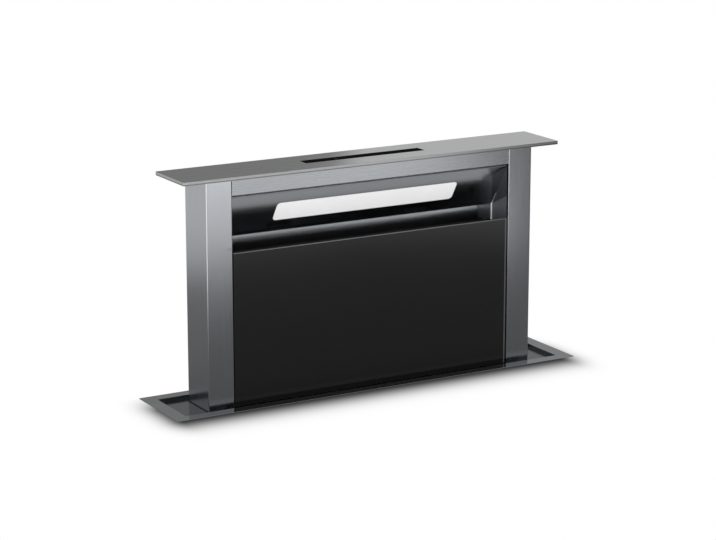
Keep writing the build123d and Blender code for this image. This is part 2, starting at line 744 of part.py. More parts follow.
with BuildPart() as carriage_frame:
    frame_depth = column_depth - 2 * SHEET
    with BuildSketch(Plane.XY.offset(frame_under)):
        Rectangle(column_width, frame_depth)
        RectangleRounded(
            column_width - 2 * FRAME_SIDE_BAR,
            frame_depth - 2 * FRAME_LONG_BAR,
            FRAME_INNER_CORNER,
            mode=Mode.SUBTRACT,
        )
    extrude(amount=FRAME_THICKNESS)
carriage_frame.part.label = "carriage_frame"
export_step(carriage_frame.part, "parts/carriage_frame.step")

side_plate_out = column_side + SIDE_PLATE_THICKNESS
with BuildPart() as carriage_plates:
    plate_half = frame_depth / 2
    for side, side_name in SIDES:
        low, high = mirrored(side, column_side, side_plate_out)
        block((low, -plate_half, -SIDE_PLATE_BOTTOM), (high, plate_half, -SIDE_PLATE_TOP))
carriage_plates.part.label = "carriage_plates"
export_step(carriage_plates.part, "parts/carriage_plates.step")

rail_head_out = wall_in_x - RAIL_BASE_THICKNESS
rail_head_in = rail_head_out - RAIL_HEAD_THICKNESS
glide_out = rail_head_out - GLIDE_WALL_GAP
glide_half = RAIL_HEAD_WIDTH / 2 + RUNNING_GAP + GLIDE_SIDE_WALL
glide_upper = -SIDE_PLATE_TOP - HEAVY_SHEET * 2
glide_lower = GLIDE_HEIGHT - SIDE_PLATE_BOTTOM

with BuildPart() as glide_blocks:
    for side, side_name in SIDES:
        low, high = mirrored(side, side_plate_out, glide_out)
        slot_low, slot_high = mirrored(side, rail_head_in - RUNNING_GAP, glide_out)
        for top in (glide_upper, glide_lower):
            block(
                (low, RAIL_SETBACK - glide_half, top - GLIDE_HEIGHT),
                (high, RAIL_SETBACK + glide_half, top),
            )
        slot_half = RAIL_HEAD_WIDTH / 2 + RUNNING_GAP
        block(
            (slot_low, RAIL_SETBACK - slot_half, glide_lower - GLIDE_HEIGHT),
            (slot_high, RAIL_SETBACK + slot_half, glide_upper),
            Mode.SUBTRACT,
        )
glide_blocks.part.label = "glide_blocks"
export_step(glide_blocks.part, "parts/glide_blocks.step")

belt_middle = wall_in_x - BELT_INSET
belt_near = belt_middle - BELT_WIDTH / 2
belt_far = belt_middle + BELT_WIDTH / 2
belt_outer_radius = BELT_INNER_RADIUS + BELT_THICKNESS
run_front = BELT_LINE - belt_outer_radius
run_back = BELT_LINE - BELT_INNER_RADIUS

with BuildPart() as belt_clamps:
    clamp_foot = CLAMP_RAISE - SIDE_PLATE_BOTTOM
    for side, side_name in SIDES:
        low, high = mirrored(side, side_plate_out, belt_far + RUNNING_GAP)
        slot_low, slot_high = mirrored(side, belt_near - RUNNING_GAP, belt_far + RUNNING_GAP)
        block(
            (low, run_front - CLAMP_WALL, clamp_foot),
            (high, run_back + CLAMP_WALL, clamp_foot + CLAMP_HEIGHT),
        )
        block(
            (slot_low, run_front - RUNNING_GAP, clamp_foot),
            (slot_high, run_back + RUNNING_GAP, clamp_foot + CLAMP_HEIGHT),
            Mode.SUBTRACT,
        )
belt_clamps.part.label = "belt_clamps"
export_step(belt_clamps.part, "parts/belt_clamps.step")

# ---------------------------------------------------------------- lift drive

with BuildPart() as guide_rails:
    for side, side_name in SIDES:
        low, high = mirrored(side, rail_head_out, wall_in_x)
        base_half = RAIL_BASE_WIDTH / 2
        block((low, RAIL_SETBACK - base_half, rail_foot), (high, RAIL_SETBACK + base_half, -RAIL_TOP))
        low, high = mirrored(side, rail_head_in, rail_head_out)
        head_half = RAIL_HEAD_WIDTH / 2
        block((low, RAIL_SETBACK - head_half, rail_foot), (high, RAIL_SETBACK + head_half, -RAIL_TOP))
guide_rails.part.label = "guide_rails"
export_step(guide_rails.part, "parts/guide_rails.step")

with BuildPart() as drive_belts:
    belt_run = -IDLER_DROP - shaft_z
    for side, side_name in SIDES:
        with BuildSketch(Plane.YZ.offset(side * belt_middle - BELT_WIDTH / 2)):
            with Locations((BELT_LINE, (shaft_z - IDLER_DROP) / 2)):
                SlotCenterToCenter(belt_run, 2 * belt_outer_radius, rotation=90)
                SlotCenterToCenter(belt_run, 2 * BELT_INNER_RADIUS, rotation=90, mode=Mode.SUBTRACT)
        extrude(amount=BELT_WIDTH)
drive_belts.part.label = "drive_belts"
export_step(drive_belts.part, "parts/drive_belts.step")

pulley_radius = BELT_INNER_RADIUS - RUNNING_GAP
pulley_near = belt_near - RUNNING_GAP - PULLEY_RIM
pulley_far = belt_far + RUNNING_GAP + PULLEY_RIM
pulley_width = pulley_far - pulley_near


def pulley(side, height, bore_radius):
    """A belt pulley with two rims, at its height beside one side wall."""
    centre = (BELT_LINE, height)
    plane = Plane.YZ.offset(min(side * pulley_near, side * pulley_far))
    rod(plane, centre, pulley_radius, pulley_width)
    rod(plane, centre, BELT_INNER_RADIUS + PULLEY_RIM_HEIGHT, PULLEY_RIM)
    rod(plane.offset(pulley_width), centre, BELT_INNER_RADIUS + PULLEY_RIM_HEIGHT, -PULLEY_RIM)
    rod(plane, centre, bore_radius, pulley_width, Mode.SUBTRACT)


for side, side_name in SIDES:
    with BuildPart() as idler:
        pulley(side, -IDLER_DROP, AXLE_RADIUS + BEARING_GAP)
    idler.part.label = f"{side_name}_idler"
    export_step(idler.part, f"parts/{side_name}_idler.step")

with BuildPart() as drive_pulleys:
    for side, side_name in SIDES:
        pulley(side, shaft_z, SHAFT_RADIUS)
drive_pulleys.part.label = "drive_pulleys"
export_step(drive_pulleys.part, "parts/drive_pulleys.step")

with BuildPart() as idler_axles:
    axle_head = pulley_near - RUNNING_GAP - AXLE_HEAD
    for side, side_name in SIDES:
        centre = (BELT_LINE, -IDLER_DROP)
        low, high = mirrored(side, wall_in_x - FRAME_THICKNESS, wall_in_x)
        reach = AXLE_PLATE / 2
        block(
            (low, centre[0] - reach, centre[1] - reach),
            (high, centre[0] + reach, centre[1] + reach),
        )
        head_plane = Plane.YZ.offset(side * axle_head)
        rod(head_plane, centre, AXLE_HEAD_RADIUS, side * AXLE_HEAD)
        rod(head_plane, centre, AXLE_RADIUS, side * (wall_in_x - axle_head))
        collar = pulley_far + RUNNING_GAP
        rod(Plane.YZ.offset(side * collar), centre, AXLE_COLLAR_RADIUS, side * (wall_in_x - collar))
idler_axles.part.label = "idler_axles"
export_step(idler_axles.part, "parts/idler_axles.step")

shaft_centre = (BELT_LINE, shaft_z)
shaft_end = wall_in_x - SHAFT_END_GAP
with BuildPart() as drive_shaft:
    rod(Plane.YZ.offset(-shaft_end), shaft_centre, SHAFT_RADIUS, 2 * shaft_end)
drive_shaft.part.label = "drive_shaft"
export_step(drive_shaft.part, "parts/drive_shaft.step")

with BuildPart() as shaft_bearings:
    for side, side_name in SIDES:
        low, high = mirrored(side, wall_in_x - BEARING_WIDTH, wall_in_x)
        reach = BEARING_HEIGHT / 2
        block(
            (low, BELT_LINE - reach, shaft_z - reach),
            (high, BELT_LINE + reach, shaft_z + reach),
        )
        rod(Plane.YZ.offset(low), shaft_centre, SHAFT_RADIUS + BEARING_GAP, high - low, Mode.SUBTRACT)
shaft_bearings.part.label = "shaft_bearings"
export_step(shaft_bearings.part, "parts/shaft_bearings.step")

gearbox_right = -GEARBOX_OFFSET + GEARBOX_WIDTH / 2
motor_y = BELT_LINE + MOTOR_OFFSET
with BuildPart() as lift_gearbox:
    block(
        (gearbox_right - GEARBOX_WIDTH, BELT_LINE - GEARBOX_FRONT, floor_top),
        (gearbox_right, motor_y + MOTOR_RADIUS, floor_top + GEARBOX_HEIGHT),
    )
    fillet(lift_gearbox.edges().filter_by(Axis.X), GEARBOX_EDGE)
    rod(
        Plane.YZ.offset(gearbox_right - GEARBOX_WIDTH),
        shaft_centre,
        SHAFT_RADIUS + BEARING_GAP,
        GEARBOX_WIDTH,
        Mode.SUBTRACT,
    )
lift_gearbox.part.label = "lift_gearbox"
export_step(lift_gearbox.part, "parts/lift_gearbox.step")

with BuildPart() as lift_motor:
    motor_centre = (motor_y, floor_top + MOTOR_RADIUS + SHEET)
    rod(Plane.YZ.offset(gearbox_right), motor_centre, MOTOR_RADIUS, MOTOR_LENGTH)
    rod(Plane.YZ.offset(gearbox_right + MOTOR_LENGTH), motor_centre, MOTOR_CAP_RADIUS, MOTOR_CAP_LENGTH)
lift_motor.part.label = "lift_motor"
export_step(lift_motor.part, "parts/lift_motor.step")

# ---------------------------------------------------------------- blower case, cover and collar

scroll_front = case_front + SCROLL_FRONT
scroll_back = scroll_front + SCROLL_WIDTH
collar_y = (scroll_front + scroll_back) / 2
fan_z = housing_under + FAN_FOOT
fan_centre = (FAN_OFFSET, fan_z)
scroll_right = case_side - CASE_WALL

# the volute: four quarter arcs about the corners of a small square, then a straight outlet
arc_right = (FAN_OFFSET, fan_z - SCROLL_STEP / 2)
arc_low = (FAN_OFFSET, fan_z + SCROLL_STEP / 2)
arc_left = (FAN_OFFSET + SCROLL_STEP, fan_z + SCROLL_STEP / 2)
radius_right = SCROLL_START_RADIUS
radius_low = radius_right + SCROLL_STEP
radius_left = radius_low + SCROLL_STEP
outlet_top = arc_left[1] + radius_left
outlet_foot = outlet_top - SCROLL_THROAT
collar_z = (outlet_top + outlet_foot) / 2
collar_plane = Plane.YZ.offset(case_side)
collar_centre = (collar_y, collar_z)


def case_rectangle(margin, mode=Mode.ADD):
    """The case's upright outline, wider by a margin on each side."""
    with Locations((0, case_top - CASE_HEIGHT / 2)):
        Rectangle(CASE_WIDTH + 2 * margin, CASE_HEIGHT + 2 * margin, mode=mode)


with BuildPart() as blower_case:
    with BuildSketch(Plane.XZ.offset(-face_y)):
        case_rectangle(0)
        case_rectangle(-CASE_WALL, Mode.SUBTRACT)
    extrude(amount=CASE_DEPTH)
    with BuildSketch(Plane.XZ.offset(-face_y)):
        case_rectangle(CASE_FLANGE)
        case_rectangle(-CASE_WALL, Mode.SUBTRACT)
    extrude(amount=CASE_WALL)
    with BuildSketch(Plane.XZ.offset(-case_front - CASE_WALL)):
        case_rectangle(0)
        case_rectangle(-CASE_FLANGE, Mode.SUBTRACT)
    extrude(amount=CASE_WALL)
    rod(collar_plane, collar_centre, COLLAR_RADIUS - COLLAR_WALL, -2 * CASE_WALL, Mode.SUBTRACT)
blower_case.part.label = "blower_case"
export_step(blower_case.part, "parts/blower_case.step")

with BuildPart() as blower_cover:
    with BuildSketch(Plane.XZ.offset(-case_front)):
        case_rectangle(0)
    extrude(amount=CASE_WALL)
    rim = blower_cover.faces().sort_by(Axis.Y)[0].edges()
    chamfer(rim, CASE_WALL / 2)
blower_cover.part.label = "blower_cover"
export_step(blower_cover.part, "parts/blower_cover.step")

with BuildPart() as outlet_collar:
    rod(collar_plane, collar_centre, COLLAR_FLANGE_RADIUS, COLLAR_FLANGE)
    rod(collar_plane, collar_centre, COLLAR_RADIUS, COLLAR_LENGTH)
    rod(collar_plane, collar_centre, COLLAR_RADIUS - COLLAR_WALL, COLLAR_LENGTH, Mode.SUBTRACT)
    pin_x = case_side + FLAP_SETBACK
    pin_half = COLLAR_RADIUS - COLLAR_WALL / 2
    rod(Plane.XY.offset(collar_z - pin_half), (pin_x, collar_y), FLAP_PIN_RADIUS, 2 * pin_half)
outlet_collar.part.label = "outlet_collar"
export_step(outlet_collar.part, "parts/outlet_collar.step")

flap_radius = COLLAR_RADIUS - COLLAR_WALL - FLAP_EDGE_GAP
FLAPS = ((-1, "front", -1.5 * FLAP_KNUCKLE), (1, "rear", -0.5 * FLAP_KNUCKLE))
for side, side_name, knuckle_foot in FLAPS:
    with BuildPart() as flap:
        with BuildSketch(Plane.YZ.offset(pin_x - FLAP_THICKNESS / 2)):
            with Locations(collar_centre):
                Circle(flap_radius)
                Rectangle(
                    FLAP_KNUCKLE_RADIUS + 2 * flap_radius,
                    2 * flap_radius,
                    align=(Align.MAX if side > 0 else Align.MIN, Align.CENTER),
                    mode=Mode.SUBTRACT,
                )
            with Locations((collar_y + side * (FLAP_KNUCKLE_RADIUS + RUNNING_GAP), collar_z)):
                Rectangle(
                    2 * flap_radius,
                    2 * flap_radius,
                    align=(Align.MAX if side > 0 else Align.MIN, Align.CENTER),
                    mode=Mode.SUBTRACT,
                )
        extrude(amount=FLAP_THICKNESS)
        knuckle_height = FLAP_KNUCKLE - RUNNING_GAP
        for step in range(2):
            foot = collar_z + knuckle_foot + 2 * step * FLAP_KNUCKLE - FLAP_KNUCKLE / 2
            knuckle_plane = Plane.XY.offset(foot + RUNNING_GAP / 2)
            rod(knuckle_plane, (pin_x, collar_y), FLAP_KNUCKLE_RADIUS, knuckle_height)
            low, high = sorted((collar_y, collar_y + side * 2 * FLAP_KNUCKLE_RADIUS))
            block(
                (pin_x - FLAP_THICKNESS / 2, low, foot + RUNNING_GAP / 2),
                (pin_x + FLAP_THICKNESS / 2, high, foot + RUNNING_GAP / 2 + knuckle_height),
            )
            rod(
                knuckle_plane,
                (pin_x, collar_y),
                FLAP_PIN_RADIUS + BEARING_GAP,
                knuckle_height,
                Mode.SUBTRACT,
            )
    flap.part.label = f"{side_name}_damper_flap"
    export_step(flap.part, f"parts/{side_name}_damper_flap.step")

# ---------------------------------------------------------------- scroll, impeller and fan motor


def volute(shrink, end):
    """The volute's outline, drawn in by a wall and closed at the outlet's end."""
    start = (arc_right[0] + radius_right - shrink, arc_right[1])
    right_foot = (arc_right[0], arc_right[1] - radius_right + shrink)
    left_middle = (arc_low[0] - radius_low + shrink, arc_low[1])
    top = (arc_left[0], outlet_top - shrink)
    outlet_high = (end, outlet_top - shrink)
    outlet_low = (end, outlet_foot + shrink)
    tongue = (start[0], outlet_foot + shrink)
    RadiusArc(start, right_foot, radius_right - shrink)
    RadiusArc(right_foot, left_middle, radius_low - shrink)
    RadiusArc(left_middle, top, radius_left - shrink)
    Polyline(top, outlet_high, outlet_low, tongue, start)


with BuildPart() as scroll:
    with BuildSketch(Plane.XZ.offset(-scroll_back)):
        with BuildLine():
            volute(0, scroll_right)
        make_face()
    extrude(amount=SCROLL_WIDTH)
    with BuildSketch(Plane.XZ.offset(-scroll_back + SCROLL_WALL)):
        with BuildLine():
            volute(SCROLL_WALL, scroll_right + SCROLL_WALL)
        make_face()
    extrude(amount=SCROLL_WIDTH - 2 * SCROLL_WALL, mode=Mode.SUBTRACT)
    rod(Plane.XZ.offset(-scroll_back), fan_centre, INLET_RADIUS, SCROLL_WALL, Mode.SUBTRACT)
    rod(Plane.XZ.offset(-scroll_front), fan_centre, MOTOR_PORT_RADIUS, -SCROLL_WALL, Mode.SUBTRACT)
scroll.part.label = "scroll"
export_step(scroll.part, "parts/scroll.step")

wheel_back = scroll_back - WHEEL_INLET_GAP
wheel_front = wheel_back - WHEEL_WIDTH
motor_back = wheel_front - FAN_MOTOR_GAP
blade_root = WHEEL_RADIUS - WHEEL_BLADE_DEPTH
blade_tip = WHEEL_RADIUS - WHEEL_BLADE / 2
with BuildSketch(Plane.XZ) as blade:
    with BuildLine():
        RadiusArc((blade_root, 0), (blade_tip, WHEEL_BLADE_DEPTH / 3), WHEEL_BLADE_DEPTH)
    trace(line_width=WHEEL_BLADE)

with BuildPart() as impeller:
    wheel_plane = Plane.XZ.offset(-wheel_front)
    rod(wheel_plane, fan_centre, WHEEL_RADIUS, -WHEEL_PLATE)
    rod(wheel_plane, fan_centre, WHEEL_HUB_RADIUS, -WHEEL_PLATE - WHEEL_HUB_HEIGHT)
    rod(Plane.XZ.offset(-wheel_back), fan_centre, WHEEL_RADIUS, WHEEL_PLATE)
    rod(
        Plane.XZ.offset(-wheel_back),
        fan_centre,
        WHEEL_RADIUS - WHEEL_RING,
        WHEEL_PLATE,
        Mode.SUBTRACT,
    )
    with BuildSketch(wheel_plane):
        with Locations(fan_centre):
            with PolarLocations(0, WHEEL_BLADE_COUNT):
                add(blade.sketch_local)
    extrude(amount=-WHEEL_WIDTH)
    shaft_start = motor_back - WHEEL_SHAFT_IN_MOTOR
    rod(Plane.XZ.offset(-shaft_start), fan_centre, WHEEL_SHAFT_RADIUS, shaft_start - wheel_front)
impeller.part.label = "impeller"
export_step(impeller.part, "parts/impeller.step")

with BuildPart() as blower_motor:
    motor_plane = Plane.XZ.offset(-motor_back)
    rod(motor_plane, fan_centre, FAN_MOTOR_RADIUS, FAN_MOTOR_LENGTH)
    rim = blower_motor.edges().filter_by(GeomType.CIRCLE).sort_by(Axis.Y)[0]
    fillet(rim, GEARBOX_EDGE)
    rod(
        motor_plane,
        fan_centre,
        WHEEL_SHAFT_RADIUS + BEARING_GAP,
        WHEEL_SHAFT_IN_MOTOR + RUNNING_GAP,
        Mode.SUBTRACT,
    )
blower_motor.part.label = "blower_motor"
export_step(blower_motor.part, "parts/blower_motor.step")

with BuildPart() as motor_bracket:
    with BuildSketch(Plane.XZ.offset(-scroll_front)):
        with Locations(fan_centre):
            Circle(BRACKET_RADIUS)
            Circle(FAN_MOTOR_RADIUS, mode=Mode.SUBTRACT)
    extrude(amount=BRACKET_THICKNESS)
motor_bracket.part.label = "motor_bracket"
export_step(motor_bracket.part, "parts/motor_bracket.step")

# ---------------------------------------------------------------- control box

box_top = -BOX_DROP
box_under = box_top - BOX_HEIGHT
box_front = face_y - BOX_DEPTH
box_low_x = BOX_MIDDLE - BOX_WIDTH / 2
box_middle = (BOX_MIDDLE, box_top - BOX_HEIGHT / 2)
gland_centre = (BOX_MIDDLE, face_y - BOX_DEPTH / 2)
POSTS = (BOX_WIDTH - 4 * BOARD_MARGIN, BOX_HEIGHT - 4 * BOARD_MARGIN)

with BuildPart() as control_box:
    with BuildSketch(Plane.XZ.offset(-face_y)):
        with Locations(box_middle):
            RectangleRounded(BOX_WIDTH, BOX_HEIGHT, BOX_CORNER)
    extrude(amount=BOX_DEPTH)
    with BuildSketch(Plane.XZ.offset(-face_y + BOX_WALL)):
        with Locations(box_middle):
            RectangleRounded(BOX_WIDTH - 2 * BOX_WALL, BOX_HEIGHT - 2 * BOX_WALL, BOX_CORNER - BOX_WALL)
    extrude(amount=BOX_DEPTH - BOX_WALL, mode=Mode.SUBTRACT)
    with BuildSketch(Plane.XZ.offset(-face_y + BOX_WALL)):
        with Locations(box_middle):
            with GridLocations(*POSTS, 2, 2):
                Circle(BOARD_POST_RADIUS)
    extrude(amount=BOARD_POST)
    rod(Plane.XY.offset(box_under), gland_centre, GLAND_NECK_RADIUS, BOX_WALL, Mode.SUBTRACT)
control_box.part.label = "control_box"
export_step(control_box.part, "parts/control_box.step")

with BuildPart() as control_board:
    board_plane = Plane.XZ.offset(-face_y + BOX_WALL + BOARD_POST)
    with BuildSketch(board_plane):
        with Locations(box_middle):
            Rectangle(BOX_WIDTH - 2 * BOARD_MARGIN, BOX_HEIGHT - 2 * BOARD_MARGIN)
    extrude(amount=BOARD_THICKNESS)
    part_depth = BOX_DEPTH / 3
    with BuildSketch(board_plane.offset(BOARD_THICKNESS)):
        with Locations(box_middle):
            with GridLocations(POSTS[0] / 2, POSTS[1] / 2, 3, 2):
                Rectangle(2 * BOARD_MARGIN, BOARD_MARGIN)
    extrude(amount=part_depth)
control_board.part.label = "control_board"
export_step(control_board.part, "parts/control_board.step")

with BuildPart() as control_cover:
    with BuildSketch(Plane.XZ.offset(-box_front)):
        with Locations(box_middle):
            RectangleRounded(BOX_WIDTH, BOX_HEIGHT, BOX_CORNER)
    extrude(amount=BOX_LID)
    rim = control_cover.faces().sort_by(Axis.Y)[0].edges()
    chamfer(rim, BOX_LID / 3)
control_cover.part.label = "control_cover"
export_step(control_cover.part, "parts/control_cover.step")

with BuildPart() as mains_gland:
    with BuildSketch(Plane.XY.offset(box_under)):
        with Locations(gland_centre):
            RegularPolygon(GLAND_RADIUS, 6)
    extrude(amount=-GLAND_LENGTH / 3)
    gland_reach = GLAND_LENGTH + BOX_WALL + GLAND_NUT
    gland_plane = Plane.XY.offset(box_under - GLAND_LENGTH)
    rod(gland_plane, gland_centre, GLAND_NECK_RADIUS, gland_reach)
    rod(Plane.XY.offset(box_under + BOX_WALL), gland_centre, GLAND_RADIUS, GLAND_NUT)
    rod(gland_plane, gland_centre, GLAND_BORE, gland_reach, Mode.SUBTRACT)
mains_gland.part.label = "mains_gland"
export_step(mains_gland.part, "parts/mains_gland.step")

# ---------------------------------------------------------------- screws

with BuildPart() as case_screws:
    cover_plane = Plane.XZ.offset(-case_front + CASE_WALL)
    flange_plane = Plane.XZ.offset(-face_y + CASE_WALL)
    lid_plane = Plane.XZ.offset(-box_front + BOX_LID)
    cover_x = case_side - CASE_FLANGE / 2
    flange_x = case_side + CASE_FLANGE / 2
    for side, side_name in SIDES:
        for share in (0, 0.5, 1):
            cover_z = case_under + CASE_FLANGE / 2 + share * (CASE_HEIGHT - CASE_FLANGE)
            flange_z = case_under + CASE_FLANGE + share * (CASE_HEIGHT - 2 * CASE_FLANGE)
            screw(cover_plane, (side * cover_x, cover_z))
            screw(flange_plane, (side * flange_x, flange_z))
        for level in (-1, 1):
            lid_x = BOX_MIDDLE + side * (BOX_WIDTH / 2 - BOARD_MARGIN)
            lid_z = box_middle[1] + level * (BOX_HEIGHT / 2 - BOARD_MARGIN)
            screw(lid_plane, (lid_x, lid_z))
case_screws.part.label = "case_screws"
export_step(case_screws.part, "parts/case_screws.step")

with BuildPart() as column_screws:
    for side, side_name in SIDES:
        plate_plane = Plane.YZ.offset(side * side_plate_out)
        for level in (SIDE_PLATE_TOP, SIDE_PLATE_BOTTOM):
            inset = SCREW_HEAD_RADIUS * 2 if level == SIDE_PLATE_TOP else -SCREW_HEAD_RADIUS * 2
            centre = (-RAIL_SETBACK / 2, -level - inset)
            rod(plate_plane, centre, SCREW_HEAD_RADIUS, side * SCREW_HEAD)
column_screws.part.label = "column_screws"
export_step(column_screws.part, "parts/column_screws.step")
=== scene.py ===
"""Looks of a worktop downdraft vent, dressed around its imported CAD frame.

Every length is in metres, in the frame's own axes: +Z up, -Y towards the cook, +X to the right.
"""

import logging
import math
from collections.abc import Sequence
from dataclasses import dataclass
from enum import Enum

import bpy
import numpy as np
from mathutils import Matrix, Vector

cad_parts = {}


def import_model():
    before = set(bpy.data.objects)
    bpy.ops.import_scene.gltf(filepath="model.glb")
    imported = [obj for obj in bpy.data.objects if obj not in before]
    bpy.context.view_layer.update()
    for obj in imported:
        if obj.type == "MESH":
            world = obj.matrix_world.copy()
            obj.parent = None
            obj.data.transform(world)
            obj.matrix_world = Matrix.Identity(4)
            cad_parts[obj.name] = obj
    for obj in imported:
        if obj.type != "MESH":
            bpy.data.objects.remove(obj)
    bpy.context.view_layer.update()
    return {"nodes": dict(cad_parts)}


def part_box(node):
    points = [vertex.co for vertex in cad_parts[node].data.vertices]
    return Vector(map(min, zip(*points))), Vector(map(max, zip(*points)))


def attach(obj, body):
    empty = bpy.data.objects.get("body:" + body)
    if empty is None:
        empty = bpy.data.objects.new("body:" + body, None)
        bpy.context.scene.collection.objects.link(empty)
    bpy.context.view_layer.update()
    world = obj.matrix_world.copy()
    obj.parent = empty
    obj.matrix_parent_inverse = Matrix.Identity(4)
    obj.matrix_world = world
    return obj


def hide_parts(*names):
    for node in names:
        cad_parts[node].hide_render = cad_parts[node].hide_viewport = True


log = logging.getLogger("downdraft_vent")

Node = bpy.types.Node
Socket = bpy.types.NodeSocket
Material = bpy.types.Material
Tint = tuple[float, ...]
Pair = tuple[float, float]
Point = tuple[float, float, float]
Stops = tuple[Pair, ...]

MM = 0.001
WHITE = (1.0, 1.0, 1.0, 1.0)
NOISE_RANGE = (0.3, 0.7)
NOISE_ROUGHNESS = 0.55
MIX_FACTOR, MIX_FIRST, MIX_SECOND, MIX_RESULT = 0, 6, 7, 2
PAN_HEAD = ((0.0, 1.0), (0.35, 1.0), (0.7, 0.93), (0.92, 0.78), (1.0, 0.6))
SOCKET_DEPTH, SOCKET_SHARE = 0.65, 0.42
BEAD_POINTS, HEAD_POINTS, LATHE_POINTS, TUBE_POINTS = 12, 24, 48, 72


class Axis(Enum):
    """A direction of the frame, with the index of its coordinate."""

    X = 0
    Y = 1
    Z = 2


class Rays(Enum):
    """What kind of ray a studio surface answers, by its Light Path output."""

    CAMERA = "Is Camera Ray"
    GLOSSY = "Is Glossy Ray"
    TRANSMISSION = "Is Transmission Ray"


# ------------------------------------------------------------------ node graphs


def shade(colour: Tint, factor: float) -> Tint:
    """A colour with its channels multiplied by a factor, as RGBA."""
    return (*(channel * factor for channel in colour[:3]), 1.0)


class Graph:
    """A material's or a world's node tree, with short ways to add and join nodes."""

    def __init__(self, tree: bpy.types.NodeTree) -> None:
        """Empties the tree and keeps it."""
        tree.nodes.clear()
        self.tree = tree

    def add(self, kind: str, **settings: object) -> Node:
        """Adds a node.

        Args:
            kind: The node's type name after "ShaderNode".
            settings: Properties of the node, by name.

        Returns:
            The new node.
        """
        node = self.tree.nodes.new("ShaderNode" + kind)
        for name, value in settings.items():
            setattr(node, name, value)
        return node

    def plug(self, socket: Socket, value: object) -> None:
        """Links a socket to another one, or sets it to a constant.

        Args:
            socket: The input.
            value: The other socket, or the constant.
        """
        if isinstance(value, Socket):
            self.tree.links.new(value, socket)
        else:
            socket.default_value = value

    def feed(self, node: Node, **values: object) -> Node:
        """Plugs values into a node's inputs by their names.

        Args:
            node: The node to feed.
            values: Input names, with underscores for spaces, and what goes in.

        Returns:
            The same node.
        """
        for name, value in values.items():
            self.plug(node.inputs[name.replace("_", " ")], value)
        return node

    def fill(self, node: Node, *values: object) -> Socket:
        """Plugs values into a node's first inputs.

        Args:
            node: The node to fill.
            values: What goes in, in the inputs' order.

        Returns:
            The node's first output.
        """
        for socket, value in zip(node.inputs, values):
            self.plug(socket, value)
        return node.outputs[0]

    def math(self, operation: str, *values: object) -> Socket:
        """Works out one operation on values or sockets."""
        return self.fill(self.add("Math", operation=operation), *values)

    def both(self, first: Socket, second: Socket) -> Socket:
        """The product of two shares: 1 where both are."""
        return self.math("MULTIPLY", first, second)

    def weigh(self, first: Socket, second: Socket, share: float) -> Socket:
        """Adds two values, the first by its share and the second by the rest."""
        second = self.math("MULTIPLY", second, 1 - share)
        return self.math("ADD", self.math("MULTIPLY", first, share), second)

    def here(self) -> Socket:
        """The place in the object's own coordinates."""
        return self.add("TexCoord").outputs["Object"]

    def rays(self, *kinds: Rays) -> list[Socket]:
        """Whether the ray that sees the surface is of each of some kinds."""
        path = self.add("LightPath")
        return [path.outputs[kind.value] for kind in kinds]

    def split(self, place: Socket) -> tuple[Socket, ...]:
        """The x, y and z of a place."""
        return tuple(self.feed(self.add("SeparateXYZ"), Vector=place).outputs)

    def source(self, node: Node, name: str) -> Socket:
        """What a node's input is linked to."""
        return node.inputs[name].links[0].from_socket

    def ramp(self, value: Socket, stops: Sequence[tuple[float, Tint]]) -> Socket:
        """Adds a colour ramp.

        Args:
            value: What the ramp reads, from 0 to 1.
            stops: Places and colours, in rising order.

        Returns:
            The ramp's colour.
        """
        node = self.add("ValToRGB")
        elements = node.color_ramp.elements
        while len(elements) < len(stops):
            elements.new(0.5)
        for element, (place, colour) in zip(elements, stops):
            element.position = place
            element.color = colour
        return self.fill(node, value)

    def tint(self, share: Socket, dark: Tint, light: Tint) -> Socket:
        """Mixes two colours by the share of the light one."""
        return self.ramp(share, ((0.0, dark), (1.0, light)))

    def greys(self, value: Socket, stops: Stops) -> Socket:
        """A ramp of neutral tones, given as places and tones."""
        return self.ramp(value, [(place, shade(WHITE, tone)) for place, tone in stops])

    def remap(self, value: Socket, old: Pair, new: Pair, kind: str = "LINEAR") -> Socket:
        """Maps one range onto another, and holds the value inside it."""
        return self.fill(self.add("MapRange", interpolation_type=kind), value, *old, *new)

    def spread(self, value: Socket, low: float = 0.0, high: float = 1.0) -> Socket:
        """Maps a noise's middle range onto another range."""
        return self.remap(value, NOISE_RANGE, (low, high))

    def span(self, value: Socket, start: float, end: float) -> Socket:
        """How far a value lies from a start to an end, from 0 to 1 with soft ends."""
        ends = (0.0, 1.0) if start < end else (1.0, 0.0)
        return self.remap(value, (min(start, end), max(start, end)), ends, "SMOOTHSTEP")

    def noise(self, scales: Point, detail: float = 3.0) -> Socket:
        """Adds a noise on the object's coordinates.

        Args:
            scales: Waves a metre along X, Y and Z.
            detail: The noise's octaves.

        Returns:
            The noise's value, from 0 to 1.
        """
        stretched = self.feed(self.add("Mapping"), Vector=self.here(), Scale=scales)
        node = self.feed(self.add("TexNoise"), Vector=stretched.outputs[0], Scale=1.0)
        return self.feed(node, Detail=detail, Roughness=NOISE_ROUGHNESS).outputs["Fac"]

    def blend(self, share: Socket, first: object, second: object) -> Socket:
        """Mixes two colours.

        Args:
            share: The second one's share.
            first: A colour.
            second: Another colour.

        Returns:
            The mixed colour.
        """
        node = self.add("Mix", data_type="RGBA")
        for index, value in ((MIX_FACTOR, share), (MIX_FIRST, first), (MIX_SECOND, second)):
            self.plug(node.inputs[index], value)
        return node.outputs[MIX_RESULT]

    def choose(self, share: Socket, first: Socket, second: Socket) -> Socket:
        """Mixes two shaders by the second one's share."""
        return self.fill(self.add("MixShader"), share, first, second)

    def glow(self, kind: str, tone: object, strength: float = 1.0) -> Socket:
        """Adds a shader that sends out light of a tone."""
        return self.fill(self.add(kind), tone, strength)

    def surface(self, shader: Socket) -> None:
        """Sends a shader to the material's surface."""
        self.feed(self.add("OutputMaterial"), Surface=shader)


